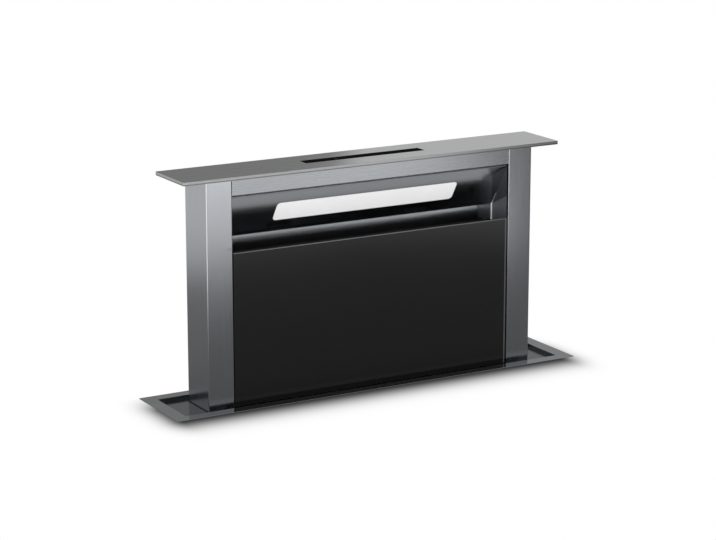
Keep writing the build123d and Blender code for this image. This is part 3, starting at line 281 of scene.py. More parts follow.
def blank(name: str) -> tuple[Material, Graph]:
    """A new material with its emptied node tree.

    Args:
        name: The material's name.

    Returns:
        The material and the graph to fill.
    """
    material = bpy.data.materials.new(name)
    material.use_nodes = True
    return material, Graph(material.node_tree)


# ------------------------------------------------------------------ finishes


@dataclass(frozen=True)
class Finish:
    """A finish with a fine mottle, the base of all the others.

    The tones are what the colour is multiplied by at its darkest and at its lightest, and the
    roughs what the roughness is multiplied by at its least and at its most.
    """

    name: str
    colour: Tint = (0.5, 0.5, 0.5)
    roughness: float = 0.5
    metallic: float = 0.0
    specular: float = 0.5
    tones: Pair = (0.94, 1.06)
    roughs: Pair = (0.9, 1.1)
    clouds: Point = (9.0, 9.0, 9.0)
    grain: float = 900.0
    bump: float = 0.15
    depth: float = 0.05 * MM

    def noises(self, graph: Graph) -> tuple[Socket, ...]:
        """What the colour, the roughness and the relief follow: clouds, and twice a fine grain."""
        fine = graph.noise((self.grain,) * 3, detail=2.0)
        return graph.spread(graph.noise(self.clouds)), fine, fine

    def swing(self, graph: Graph, share: Socket, colour: Tint) -> Socket:
        """A colour from its darkest tone to its lightest, by a share."""
        return graph.tint(share, *(shade(colour, tone) for tone in self.tones))

    def paint(self, graph: Graph) -> Node:
        """Fills in the finish's colour, roughness and relief, each by its own noise.

        Args:
            graph: The material's node tree.

        Returns:
            The shader's node.
        """
        tone, rough, relief = self.noises(graph)
        node = graph.add("BsdfPrincipled")
        graph.feed(node, Metallic=self.metallic, Specular_IOR_Level=self.specular)
        graph.feed(node, Base_Color=self.swing(graph, tone, self.colour))
        roughs = [self.roughness * share for share in self.roughs]
        graph.feed(node, Roughness=graph.spread(rough, *roughs))
        if self.bump:
            bump = graph.feed(graph.add("Bump"), Strength=self.bump, Distance=self.depth)
            graph.feed(node, Normal=graph.feed(bump, Height=relief).outputs[0])
        return node

    def make(self) -> Material:
        """Builds the material.

        Returns:
            The new material.
        """
        material, graph = blank(self.name)
        graph.surface(self.paint(graph).outputs[0])
        return material


@dataclass(frozen=True)
class BrushedSteel(Finish):
    """Stainless steel brushed along one axis: long fine streaks and a stretched gloss.

    Hair and band are the waves a metre of two noises, first across the brushing and then along it.
    """

    colour: Tint = (0.585, 0.605, 0.635)
    roughness: float = 0.3
    metallic: float = 1.0
    tones: Pair = (0.9, 1.1)
    roughs: Pair = (0.85, 1.15)
    bump: float = 0.05
    depth: float = 0.01 * MM
    along: Axis = Axis.X
    stretch: float = 0.6
    hair: Pair = (2600.0, 14.0)
    band: Pair = (420.0, 3.0)
    hair_share: float = 0.6

    def streaks(self, graph: Graph, waves: Pair, detail: float) -> Socket:
        """A noise stretched along the brushing."""
        return graph.noise(tuple(waves[axis is self.along] for axis in Axis), detail)

    def noises(self, graph: Graph) -> tuple[Socket, ...]:
        """Hair and band together for colour and roughness, and the hair alone for relief.

        Args:
            graph: The material's node tree.

        Returns:
            The three noises.
        """
        hair = self.streaks(graph, self.hair, detail=2.0)
        mixed = graph.weigh(hair, self.streaks(graph, self.band, detail=3.0), self.hair_share)
        return graph.spread(mixed), mixed, hair

    def paint(self, graph: Graph) -> Node:
        """Fills in brushed steel with its gloss stretched across the streaks.

        Args:
            graph: The material's node tree.

        Returns:
            The shader's node.
        """
        node = graph.feed(super().paint(graph), Anisotropic=self.stretch)
        tangent = graph.add("Tangent", direction_type="RADIAL", axis=self.along.name)
        return graph.feed(node, Tangent=tangent.outputs[0])


@dataclass(frozen=True)
class PillarSteel(BrushedSteel):
    """Upright brushed steel whose inner walls are dull, with painted shade in part.

    The walls carry painted shade beside the slanted panel, above a line that rises towards the
    front, and a darker painted shadow along their front edge, where the shadow of the fold lies.
    """

    inner_wall: float = 309.8 * MM
    wall_roughness: float = 0.6
    slant_foot: float = 325 * MM
    rise: float = 0.45
    wall_shade_tone: float = 0.5
    fold_back: float = -39.5 * MM
    fold_side: float = 310.3 * MM
    fold_shadow_tone: float = 0.05

    def paint(self, graph: Graph) -> Node:
        """Fills in brushed steel, rougher where |x| is less than the inner wall's, with painted
        shade in part.

        Args:
            graph: The material's node tree.

        Returns:
            The shader's node.
        """
        node = super().paint(graph)
        x, y, z = graph.split(graph.here())
        side = graph.math("ABSOLUTE", x)
        inside = graph.math("LESS_THAN", side, self.inner_wall)
        dull = graph.math("MULTIPLY", inside, self.wall_roughness)
        graph.feed(node, Roughness=graph.math("MAXIMUM", graph.source(node, "Roughness"), dull))
        level = graph.math("ADD", z, graph.math("MULTIPLY", y, self.rise))
        shaded_wall = graph.both(inside, graph.math("GREATER_THAN", level, self.slant_foot))
        behind = graph.math("LESS_THAN", y, self.fold_back)
        fold_shadow = graph.both(behind, graph.math("LESS_THAN", side, self.fold_side))
        # Painted shade: darker colour beside the slanted panel, and a painted shadow along the
        # front fold.
        tone = graph.source(node, "Base Color")
        for share, factor in ((shaded_wall, self.wall_shade_tone), (fold_shadow, self.fold_shadow_tone)):
            tone = graph.blend(share, tone, shade(self.colour, factor))
        return graph.feed(node, Base_Color=tone)


@dataclass(frozen=True)
class PlateSteel(BrushedSteel):
    """Brushed steel of the top plate, with painted shade along the foot of its folded rim."""

    hem_top: float = 444.3 * MM
    hem_shade_tone: float = 0.5

    def paint(self, graph: Graph) -> Node:
        """Fills in brushed steel, with painted shade below the hem's top.

        Args:
            graph: The material's node tree.

        Returns:
            The shader's node.
        """
        node = super().paint(graph)
        hem_shade = graph.math("LESS_THAN", graph.split(graph.here())[Axis.Z.value], self.hem_top)
        # Painted shade: the rim's foot is darkened below the hem's top.
        dark = shade(self.colour, self.hem_shade_tone)
        return graph.feed(node, Base_Color=graph.blend(hem_shade, graph.source(node, "Base Color"), dark))


@dataclass(frozen=True)
class PolishedSteel(Finish):
    """Steel polished almost to a mirror, with faint wipe marks and painted shade on its drawn
    walls.
    """

    colour: Tint = (0.6, 0.615, 0.63)
    roughness: float = 0.14
    metallic: float = 1.0
    tones: Pair = (0.95, 1.05)
    roughs: Pair = (0.75, 1.25)
    clouds: Point = (14.0, 22.0, 22.0)
    bump: float = 0.04
    depth: float = 0.01 * MM
    marks: Point = (6.0, 700.0, 700.0)
    wall_top: float = -0.2 * MM
    wall_foot: float = -6.8 * MM
    wall_edge: float = 0.5 * MM
    recess_shade_tones: Pair = (0.27, 0.33)

    def noises(self, graph: Graph) -> tuple[Socket, ...]:
        """Long wipe marks for colour and relief, and clouds for roughness."""
        marks = graph.noise(self.marks, detail=2.0)
        return graph.spread(marks), graph.noise(self.clouds), marks

    def paint(self, graph: Graph) -> Node:
        """Fills in polished steel, with painted shade on the walls between two heights.

        Args:
            graph: The material's node tree.

        Returns:
            The shader's node.
        """
        node = super().paint(graph)
        z = graph.split(graph.here())[Axis.Z.value]
        under = graph.span(z, self.wall_top, self.wall_top - self.wall_edge)
        over = graph.span(z, self.wall_foot, self.wall_foot + self.wall_edge)
        # Painted shade: the recess walls between the two heights are darkened.
        tones = [shade(self.colour, tone) for tone in self.recess_shade_tones]
        dull = graph.tint(graph.noise(self.clouds), *tones)
        bright = graph.source(node, "Base Color")
        return graph.feed(node, Base_Color=graph.blend(graph.both(under, over), bright, dull))


@dataclass(frozen=True)
class ZincSheet(Finish):
    """Galvanised sheet with its patchwork of dull crystals."""

    colour: Tint = (0.5, 0.515, 0.53)
    roughness: float = 0.42
    metallic: float = 0.5
    tones: Pair = (0.9, 1.09)
    roughs: Pair = (0.8, 1.2)
    clouds: Point = (7.0, 7.0, 7.0)
    bump: float = 0.0
    crystal: float = 95.0
    crystal_share: float = 0.55

    def noises(self, graph: Graph) -> tuple[Socket, ...]:
        """Crystals as cells of their own tone and gloss, with clouds over them.

        Args:
            graph: The material's node tree.

        Returns:
            The three noises.
        """
        cells = graph.feed(graph.add("TexVoronoi"), Vector=graph.here(), Scale=self.crystal)
        crystals, clouds = cells.outputs["Color"], graph.noise(self.clouds)
        mixed = graph.weigh(crystals, clouds, self.crystal_share)
        return graph.spread(mixed), mixed, mixed


@dataclass(frozen=True)
class Glass(Finish):
    """Smooth dark glass with a faint unevenness."""

    tones: Pair = (0.9, 1.1)
    roughs: Pair = (0.85, 1.15)
    bump: float = 0.02
    depth: float = 0.02 * MM
    index: float = 1.52
    wave: Point = (5.0, 5.0, 5.0)

    def noises(self, graph: Graph) -> tuple[Socket, ...]:
        """One slow wave for all three."""
        return (graph.noise(self.wave, detail=1.0),) * 3

    def paint(self, graph: Graph) -> Node:
        """Fills in the glass and its refractive index."""
        return graph.feed(super().paint(graph), IOR=self.index)


@dataclass(frozen=True)
class BlackGlass(Glass):
    """Black-backed toughened glass with a ground edge and a painted highlight along one rim on its
    face.
    """

    colour: Tint = (0.0075, 0.0075, 0.0077)
    roughness: float = 0.045
    face: float = -45.0 * MM
    arris: float = 0.15 * MM
    edge_tone: float = 0.14
    edge_roughness: float = 0.6
    end: float = 307.3 * MM
    rim: Pair = (303.2 * MM, 306.2 * MM)
    rim_highlight_tone: float = 0.06

    def paint(self, graph: Graph) -> Node:
        """Fills in the black glass, dull behind its face, lit between the ends, with a painted
        highlight along the rim.

        Args:
            graph: The material's node tree.

        Returns:
            The shader's node.
        """
        node = super().paint(graph)
        x, y, _ = graph.split(graph.here())
        edge = graph.span(y, self.face, self.face + self.arris)
        dull = graph.math("MULTIPLY", edge, self.edge_roughness - self.roughness)
        graph.feed(node, Roughness=graph.math("ADD", graph.source(node, "Roughness"), dull))
        start, end = self.rim
        band = graph.both(graph.math("GREATER_THAN", x, start), graph.math("LESS_THAN", x, end))
        lit = graph.both(edge, graph.math("LESS_THAN", graph.math("ABSOLUTE", x), self.end))
        wave, tone = self.noises(graph)[0], graph.source(node, "Base Color")
        # Painted highlight: a lighter band along the rim near the glass's right end.
        for share, grey in ((band, self.rim_highlight_tone), (lit, self.edge_tone)):
            tone = graph.blend(share, tone, self.swing(graph, wave, (grey,) * 3))
        return graph.feed(node, Base_Color=tone)


@dataclass(frozen=True)
class TouchGlass(Glass):
    """The touch strip's glass, with the faint light of one key under it."""

    colour: Tint = (0.004, 0.004, 0.0042)
    roughness: float = 0.45
    specular: float = 0.0
    index: float = 1.03
    key: Point = (-61.5 * MM, -1.0 * MM, 449.0 * MM)
    key_radius: float = 2.2 * MM
    key_tone: float = 0.22

    def paint(self, graph: Graph) -> Node:
        """Fills in dark glass with a soft round spot.

        Args:
            graph: The material's node tree.

        Returns:
            The shader's node.
        """
        away = graph.add("VectorMath", operation="DISTANCE")
        graph.fill(away, graph.here(), self.key)
        spot = graph.remap(away.outputs["Value"], (0.0, self.key_radius), (1.0, 0.0))
        tone = graph.tint(spot, shade(self.colour, 1.0), shade(WHITE, self.key_tone))
        return graph.feed(super().paint(graph), Base_Color=tone)


@dataclass(frozen=True)
class LitDiffuser(Finish):
    """Frosted acrylic lit from behind."""

    colour: Tint = (0.45, 0.45, 0.45)
    roughness: float = 0.35
    glow: float = 0.4

    def paint(self, graph: Graph) -> Node:
        """Fills in a soft surface and its glow."""
        return graph.feed(super().paint(graph), Emission_Color=WHITE, Emission_Strength=self.glow)


STEEL_FLAT = BrushedSteel("brushed_steel_along_x")
STEEL_FASCIA = BrushedSteel("brushed_steel_fascia", roughness=0.278)
STEEL_UPRIGHT = PillarSteel(
    "brushed_steel_along_z", along=Axis.Z, roughness=0.2, stretch=0.1, tones=(0.94, 1.06)
)
STEEL_PLATE = PlateSteel("brushed_steel_top", (0.6, 0.605, 0.61))
STEEL_SLANT = BrushedSteel("brushed_steel_dark_panel", roughness=0.16, stretch=0.5)
STEEL_POLISHED = PolishedSteel("polished_steel")
PLATE_METAL = BrushedSteel("rating_plate_metal", (0.68, 0.69, 0.7))
ZINC = ZincSheet("zinc_sheet")
BRIGHT = Finish("bright_steel", (0.62, 0.63, 0.64), 0.2, metallic=1.0)
CAST = Finish("cast_aluminium", (0.5, 0.51, 0.52), 0.45, metallic=1.0, grain=600.0, bump=0.5)
FILTER_STRAND = Finish("filter_strands", (0.66, 0.67, 0.68), 0.3, metallic=1.0)
FILTER_RIM = Finish("filter_frame_black", (0.009, 0.009, 0.009), 0.6, specular=0.12)
# The seams' near-white colour is a painted highlight on steel beads.
SEAM_HIGHLIGHT = Finish("seam_painted_highlight", (0.93, 0.94, 0.95), 0.3, metallic=0.1)
WELD = Finish("spot_weld", (0.4, 0.41, 0.42), 0.38, metallic=0.9)
BLACK_METAL = Finish("black_metal", (0.022, 0.022, 0.023), 0.42)
WHITE_METAL = Finish("white_metal", (0.8, 0.8, 0.79), 0.4)
BLACK_PLASTIC = Finish("black_plastic", (0.028, 0.028, 0.03), 0.5, bump=0.5)
GREY_PLASTIC = Finish("grey_plastic", (0.3, 0.31, 0.32), 0.5, bump=0.5)
WHITE_PLASTIC = Finish("white_plastic", (0.76, 0.76, 0.73), 0.4)
RUBBER = Finish("black_rubber", (0.018, 0.018, 0.018), 0.75, bump=0.4)
CIRCUIT = Finish("circuit_board", (0.02, 0.13, 0.06), 0.35)
LAMP_BOARD = Finish("lamp_board", (0.78, 0.78, 0.76), 0.4)
DIFFUSER = LitDiffuser("lit_diffuser")
GLASS = BlackGlass("black_glass")
TOUCH_GLASS = TouchGlass("touch_glass")


class Paintshop:
    """Makes each finish once and puts it on objects."""

    def __init__(self, nodes: dict[str, bpy.types.Object]) -> None:
        """Keeps the CAD nodes' objects by name, with no material made yet."""
        self.nodes = nodes
        self.made: dict[str, Material] = {}

    def coat(self, thing: bpy.types.Object, finish: Finish) -> None:
        """Gives an object one finish all over, which is made on first use.

        Args:
            thing: The object to coat.
            finish: Its finish.
        """
        if finish.name not in self.made:
            self.made[finish.name] = finish.make()
        thing.data.materials.clear()
        thing.data.materials.append(self.made[finish.name])

    def coat_nodes(self, finish: Finish, *names: str) -> None:
        """Coats CAD nodes with one finish.

        Args:
            finish: Their finish.
            names: The nodes' names.
        """
        for name in names:
            self.coat(self.nodes[name], finish)
            log.info("node %s: %s", name, finish.name)


# ------------------------------------------------------------------ surfaces


@dataclass
class Patch:
    """Points and faces gathered before they become a mesh."""

    points: np.ndarray
    faces: list[list[int]]

    @staticmethod
    def joined(patches: list["Patch"]) -> "Patch":
        """Puts patches into one, with the later ones' faces renumbered.

        Args:
            patches: The patches to join.

        Returns:
            One patch with all their points and faces.
        """
        counts = np.cumsum([0] + [len(patch.points) for patch in patches])
        faces = []
        for start, patch in zip(counts, patches):
            faces += [[int(start) + corner for corner in face] for face in patch.faces]
        return Patch(np.concatenate([patch.points for patch in patches]), faces)


def loft(rings: np.ndarray, endless: bool = False) -> Patch:
    """Skins closed rings in turn, and caps the ends unless the last ring joins the first.

    Point (i, j) of the grid joins (i, j + 1), (i + 1, j + 1) and (i + 1, j) in one face. Where the
    enclosed volume comes out negative, every face is turned round, so that all face outwards.

    Args:
        rings: The rings' points, as rings by points by three.
        endless: Whether the last ring joins the first.

    Returns:
        The skin.
    """
    count, around = rings.shape[:2]
    number = np.arange(count * around).reshape(count, around)
    below = number if endless else number[:-1]
    above = np.roll(number, -1, axis=0) if endless else number[1:]
    corners = (below, np.roll(below, -1, axis=1), np.roll(above, -1, axis=1), above)
    quads = np.stack(corners, axis=-1).reshape(-1, 4)
    points = rings.reshape(-1, 3)
    corner = points[quads] - points.mean(axis=0)
    volume = np.einsum("ij,ij->", corner[:, 0], np.cross(corner[:, 1], corner[:, 2]))
    volume += np.einsum("ij,ij->", corner[:, 0], np.cross(corner[:, 2], corner[:, 3]))
    faces = quads.tolist()
    if not endless:
        faces += [number[0][::-1].tolist(), number[-1].tolist()]
    if volume < 0:
        faces = [face[::-1] for face in faces]
    return Patch(points, faces)


def stack(axis: Axis, levels: Sequence[float], outlines: np.ndarray, centre: Point) -> np.ndarray:
    """Rings set across an axis: centre + level along the axis + the outline's numbers across it.

    The outline's numbers go along the two axes that follow in the order x, y, z, x.

    Args:
        axis: The direction that the rings are stacked in.
        levels: How far along it each ring lies.
        outlines: The rings' flat outlines, as rings by points by two.
        centre: What the levels and outlines are measured from.

    Returns:
        The rings' points.
    """
    rings = np.zeros(outlines.shape[:2] + (3,))
    rings[..., axis.value] = np.asarray(levels)[:, None]
    rings[..., (axis.value + 1) % 3] = outlines[..., 0]
    rings[..., (axis.value + 2) % 3] = outlines[..., 1]
    return rings + np.asarray(centre)


def full_turn(count: int) -> np.ndarray:
    """Even angles once round."""
    return np.linspace(0, 2 * np.pi, count, endpoint=False)


def quarter_turn(count: int) -> np.ndarray:
    """Even angles over a quarter, with both ends."""
    return np.linspace(0, np.pi / 2, count)


def circles(radii: np.ndarray, turn: np.ndarray) -> np.ndarray:
    """Flat outlines: a radius for each ring, or ring and angle, times (cos, sin) of the turn."""
    radii = np.asarray(radii).reshape(len(radii), -1)
    return radii[..., None] * np.stack([np.cos(turn), np.sin(turn)], axis=-1)


def hexagon(turn: np.ndarray) -> np.ndarray:
    """A hexagon's radius: cos(30 degrees) over the cosine of the angle from its side's middle."""
    return np.cos(np.pi / 6) / np.cos(np.mod(turn, np.pi / 3) - np.pi / 6)


def rounded(
    widths: np.ndarray, heights: np.ndarray, corners: np.ndarray, per_corner: int = 6
) -> np.ndarray:
    """Rounded rectangles: each arc's centre plus its radius times (cos, sin) of a quarter turn.

    Args:
        widths: A width for each ring.
        heights: A height for each ring.
        corners: A corner radius for each ring.
        per_corner: Points on each corner's arc.

    Returns:
        Flat outlines, as rings by points by two.
    """
    turn = quarter_turn(per_corner)
    turns = np.concatenate([turn + quarter * np.pi / 2 for quarter in range(4)])
    signs = np.repeat([(1, 1), (-1, 1), (-1, -1), (1, -1)], per_corner, axis=0)
    half = np.stack([widths / 2, heights / 2], axis=-1)[:, None, :]
    radius = corners[:, None, None]
    return signs * (half - radius) + radius * np.stack([np.cos(turns), np.sin(turns)], axis=-1)


def lathe(
    axis: Axis, centre: Point, profile: Sequence[Pair], points: int = LATHE_POINTS
) -> Patch:
    """A turned solid: (level, radius) pairs, from end to end, carried round an axis by a centre."""
    levels, radii = np.array(profile).T
    return loft(stack(axis, levels, circles(radii, full_turn(points)), centre))


def ring_bead(axis: Axis, centre: Point, radius: float, size: Pair) -> Patch:
    """A bead around a tube: an ellipse, half sunk in the wall, carried round the axis.

    Args:
        axis: The tube's axis.
        centre: The bead's middle.
        radius: The tube's radius.
        size: The bead's width along the tube, and how far it stands out.

    Returns:
        The closed ring.
    """
    width, height = size
    slope = full_turn(BEAD_POINTS)
    outlines = circles(radius + height * np.sin(slope), full_turn(TUBE_POINTS))
    return loft(stack(axis, width / 2 * np.cos(slope), outlines, centre), endless=True)


def swage(axis: Axis, centre: Point, size: Pair, height: float) -> Patch:
    """A pressed rib: a stadium outline that draws in as a quarter cosine wave while it rises.

    Args:
        axis: The direction that it rises in.
        centre: Its middle on the sheet's face.
        size: Its two sides across the axis.
        height: How far it stands out, negative where it rises against the axis.

    Returns:
        The rib, closed under the sheet's face.
    """
    sunk, drawn, end_share, steps = 0.3, 0.55, 0.98, 5
    slope = quarter_turn(steps)
    levels = height * np.concatenate([[-sunk], np.sin(slope)])
    shrink = drawn * min(size) * np.concatenate([[0.0], 1 - np.cos(slope)])
    widths, heights = size[0] - shrink, size[1] - shrink
    corners = np.minimum(widths, heights) / 2 * end_share
    return loft(stack(axis, levels, rounded(widths, heights, corners), centre))


def dots(axis: Axis, places: np.ndarray, radius: float, height: float) -> Patch:
    """Spot welds: low domes whose radius falls as a cosine while they rise.

    Args:
        axis: The direction that they rise in.
        places: Their middles on the sheet's face.
        radius: Their radius.
        height: How far they stand out, negative where they rise against the axis.

    Returns:
        All the domes in one patch.
    """
    sunk, top, steps, points = 0.2, 0.42, 4, 14
    slope = np.linspace(0, top * np.pi, steps)
    profile = list(zip(height * (np.sin(slope) - sunk), radius * np.cos(slope)))
    return Patch.joined([lathe(axis, tuple(place), profile, points) for place in places])


def screw_head(axis: Axis, place: Point, size: Pair) -> Patch:
    """A pan head with a six-sided socket: a domed profile, then a hexagon that goes down into it.

    Args:
        axis: The screw's axis.
        place: The middle of the head's underside.
        size: The head's radius, and its height, negative where it rises against the axis.

    Returns:
        The head.
    """
    radius, height = size
    turn = full_turn(HEAD_POINTS)
    levels, shares = np.array(PAN_HEAD).T
    levels = height * np.concatenate([levels, [1.0, 1 - SOCKET_DEPTH]])
    dome = shares[:, None] * np.ones_like(turn)
    socket = SOCKET_SHARE * hexagon(turn)
    outlines = circles(radius * np.concatenate([dome, [socket, socket]]), turn)
    return loft(stack(axis, levels, outlines, place))


@dataclass
class Workshop:
    """Turns patches into pieces that ride on the CAD's bodies."""

    shop: Paintshop
    sharp: float = math.radians(32.0)

    def piece(
        self, name: str, patches: list[Patch], body: str, finish: Finish, slot: str, *nodes: str
    ) -> None:
        """Makes one object of several patches.

        Args:
            name: The piece's name.
            patches: Its surfaces.
            body: The body that it rides on.
            finish: Its finish.
            slot: The record's material slot; not used.
            nodes: CAD nodes that it stands for.
        """
        whole = Patch.joined(patches)
        mesh = bpy.data.meshes.new(name)
        mesh.from_pydata(whole.points.tolist(), [], whole.faces)
        mesh.shade_smooth()
        mesh.set_sharp_from_angle(angle=self.sharp)
        thing = bpy.data.objects.new(name, mesh)
        bpy.context.scene.collection.objects.link(thing)
        self.shop.coat(thing, finish)
        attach(thing, body)
        if nodes:
            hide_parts(*nodes)
        log.info("piece %s: %d faces, on %s", name, len(whole.faces), body)


# ------------------------------------------------------------------ sub-assemblies


class Assembly:
    """A part of the vent: the finishes of its CAD nodes, and the pieces made around them."""

    coats: tuple[tuple, ...] = ()

    def dress(self, bench: Workshop) -> None:
        """Coats the CAD nodes, each row a finish and the names that it goes on."""
        for finish, *names in self.coats:
            bench.shop.coat_nodes(finish, *names)

    def build(self, bench: Workshop) -> None:
        """Makes the pieces: none, where an assembly doesn't say otherwise."""


class WorktopFlange(Assembly):
    """The polished flange with its recess, and the wiper seal round the column."""

    coats = ((STEEL_POLISHED, "worktop_flange"), (RUBBER, "wiper_seal"))


class TopPlate(Assembly):
    """The brushed lid, its touch strip and what stiffens it."""

    coats = (
        (STEEL_PLATE, "top_plate"),
        (TOUCH_GLASS, "touch_panel"),
        (BLACK_PLASTIC, "plate_stiffener"),
        (CIRCUIT, "touch_board"),
    )


class GlassFront(Assembly):
    """The black glass and the steel tray that carries it."""

    coats = ((GLASS, "glass_panel"), (BLACK_METAL, "glass_carrier"))


@dataclass
class Column(Assembly):
    """Two pillars, the skins between them, the head beam and the carriage under them."""

    screw: Pair = (4.0 * MM, 2.2 * MM)
    screw_inset: float = 8.0 * MM
    screw_line: float = -12.0 * MM

    coats = (
        (STEEL_UPRIGHT, "left_pillar", "right_pillar"),
        (STEEL_FASCIA, "front_fascia"),
        (STEEL_FLAT, "lower_apron", "back_panel", "grease_trough"),
        (ZINC, "head_beam", "carriage_frame", "carriage_plates", "filter_guides"),
        (WHITE_PLASTIC, "glide_blocks"),
        (BLACK_METAL, "belt_clamps"),
        (BLACK_PLASTIC, "magnet_catches"),
    )

    def build(self, bench: Workshop) -> None:
        """Makes the screws that hold the side plates.

        Args:
            bench: Where pieces are made.
        """
        low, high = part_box("carriage_plates")
        radius, height = self.screw
        heads = [
            screw_head(Axis.X, (x, self.screw_line, z), (radius, rise))
            for x, rise in ((low.x, -height), (high.x, height))
            for z in (low.z + self.screw_inset, high.z - self.screw_inset)
        ]
        bench.piece("side_plate_screws", heads, "column", BRIGHT, "bright_steel", "column_screws")


@dataclass
class LightPanel(Assembly):
    """The slanted panel with its baffle, the seams at its ends, and the lamp behind it.

    The seams' path is (y, z) at the slant's head and foot and at the baffle's head and foot.
    """

    path: tuple[Pair, ...] = (
        (-39.9 * MM, 405.2 * MM),
        (12.9 * MM, 321.3 * MM),
        (14.4 * MM, 317.8 * MM),
        (14.4 * MM, 264.0 * MM),
    )
    radii: tuple[float, ...] = (0.3 * MM, 0.4 * MM, 1.1 * MM, 1.1 * MM)

    coats = (
        (STEEL_SLANT, "light_deflector"),
        (DIFFUSER, "led_diffuser"),
        (WHITE_METAL, "led_housing"),
        (LAMP_BOARD, "led_board"),
    )

    def seam(self, side: int) -> Patch:
        """A fine round bead between the panel and a pillar: circles set square to its path.

        At each point the circle lies in the plane of x and of the mean of the path's directions
        there, turned square.

        Args:
            side: -1 for the left end and 1 for the right one.

        Returns:
            The bead, closed at both ends.
        """
        low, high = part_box("light_deflector")
        path, radii = np.array(self.path), np.array(self.radii)
        steps = np.diff(path, axis=0)
        steps /= np.linalg.norm(steps, axis=1)[:, None]
        mean = np.concatenate([steps[:1], (steps[:-1] + steps[1:]) / 2, steps[-1:]])
        mean /= np.linalg.norm(mean, axis=1)[:, None]
        square = np.stack([mean[:, 1], -mean[:, 0]], axis=-1)
        outlines = circles(radii, full_turn(BEAD_POINTS))
        edge = (high.x if side > 0 else low.x) - side * radii[:, None]
        across = path[:, None] + outlines[..., 1:] * square[:, None]
        return loft(np.concatenate([edge[..., None] + outlines[..., :1], across], axis=-1))

    def build(self, bench: Workshop) -> None:
        """Makes the seams at both ends of the panel."""
        seams = [self.seam(side) for side in (-1, 1)]
        # The seams' near-white finish paints a highlight along the panel's ends.
        bench.piece("panel_end_seams", seams, "column", SEAM_HIGHLIGHT, "brushed_steel")


@dataclass
class GreaseFilters(Assembly):
    """Two cassettes with layers of expanded aluminium in their frames."""

    diamond: Pair = (12.0 * MM, 6.0 * MM)
    strand_width: float = 1.5 * MM
    strand_depth: float = 0.9 * MM
    layers: int = 3

    coats = (
        (FILTER_RIM, "left_filter_frame", "right_filter_frame"),
        (FILTER_STRAND, "left_filter_mesh", "right_filter_mesh"),
    )

    def lattice(self, low: Point, high: Point, layer: int) -> Patch:
        """One layer of expanded metal.

        Strand k runs along x at height k * diamond / 2 and swings up and down by a quarter diamond,
        peak by peak, in turn with its neighbours, so that they meet at every second peak. Its
        section is a flat oblong, and each layer lies half a diamond aside from the one before.

        Args:
            low: The mesh's lowest corner.
            high: Its highest corner.
            layer: Which layer, from the front.

        Returns:
            The layer's strands.
        """
        step, rise = (side / 2 for side in self.diamond)
        x = np.linspace(low[0], high[0], int(round((high[0] - low[0]) / step)) + 1)
        margin = rise / 2 + self.strand_width
        row = np.arange(int((high[2] - low[2] - 2 * margin) / rise) + 1)[:, None]
        z = low[2] + margin + rise * row
        swing = rise / 2 * (-1.0) ** (np.arange(len(x)) + row + layer)
        y = low[1] + (high[1] - low[1]) / self.layers * (layer + 0.5)
        section = np.array([(-1, -1), (1, -1), (1, 1), (-1, 1)]) / 2
        points = np.zeros((len(row), len(x), 4, 3))
        points[..., 0] = x[:, None]
        points[..., 1] = y + self.strand_depth * section[:, 0]
        points[..., 2] = (z + swing)[..., None] + self.strand_width * section[:, 1]
        return Patch.joined([loft(strand) for strand in points])

    def build(self, bench: Workshop) -> None:
        """Makes the expanded metal of both filters.

        Args:
            bench: Where pieces are made.
        """
        for side in ("left", "right"):
            node, body = f"{side}_filter_mesh", f"{side}_filter"
            layers = [self.lattice(*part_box(node), layer) for layer in range(self.layers)]
            name, slot = f"{side}_expanded_metal", "filter_aluminium"
            bench.piece(name, layers, body, FILTER_STRAND, slot, node)


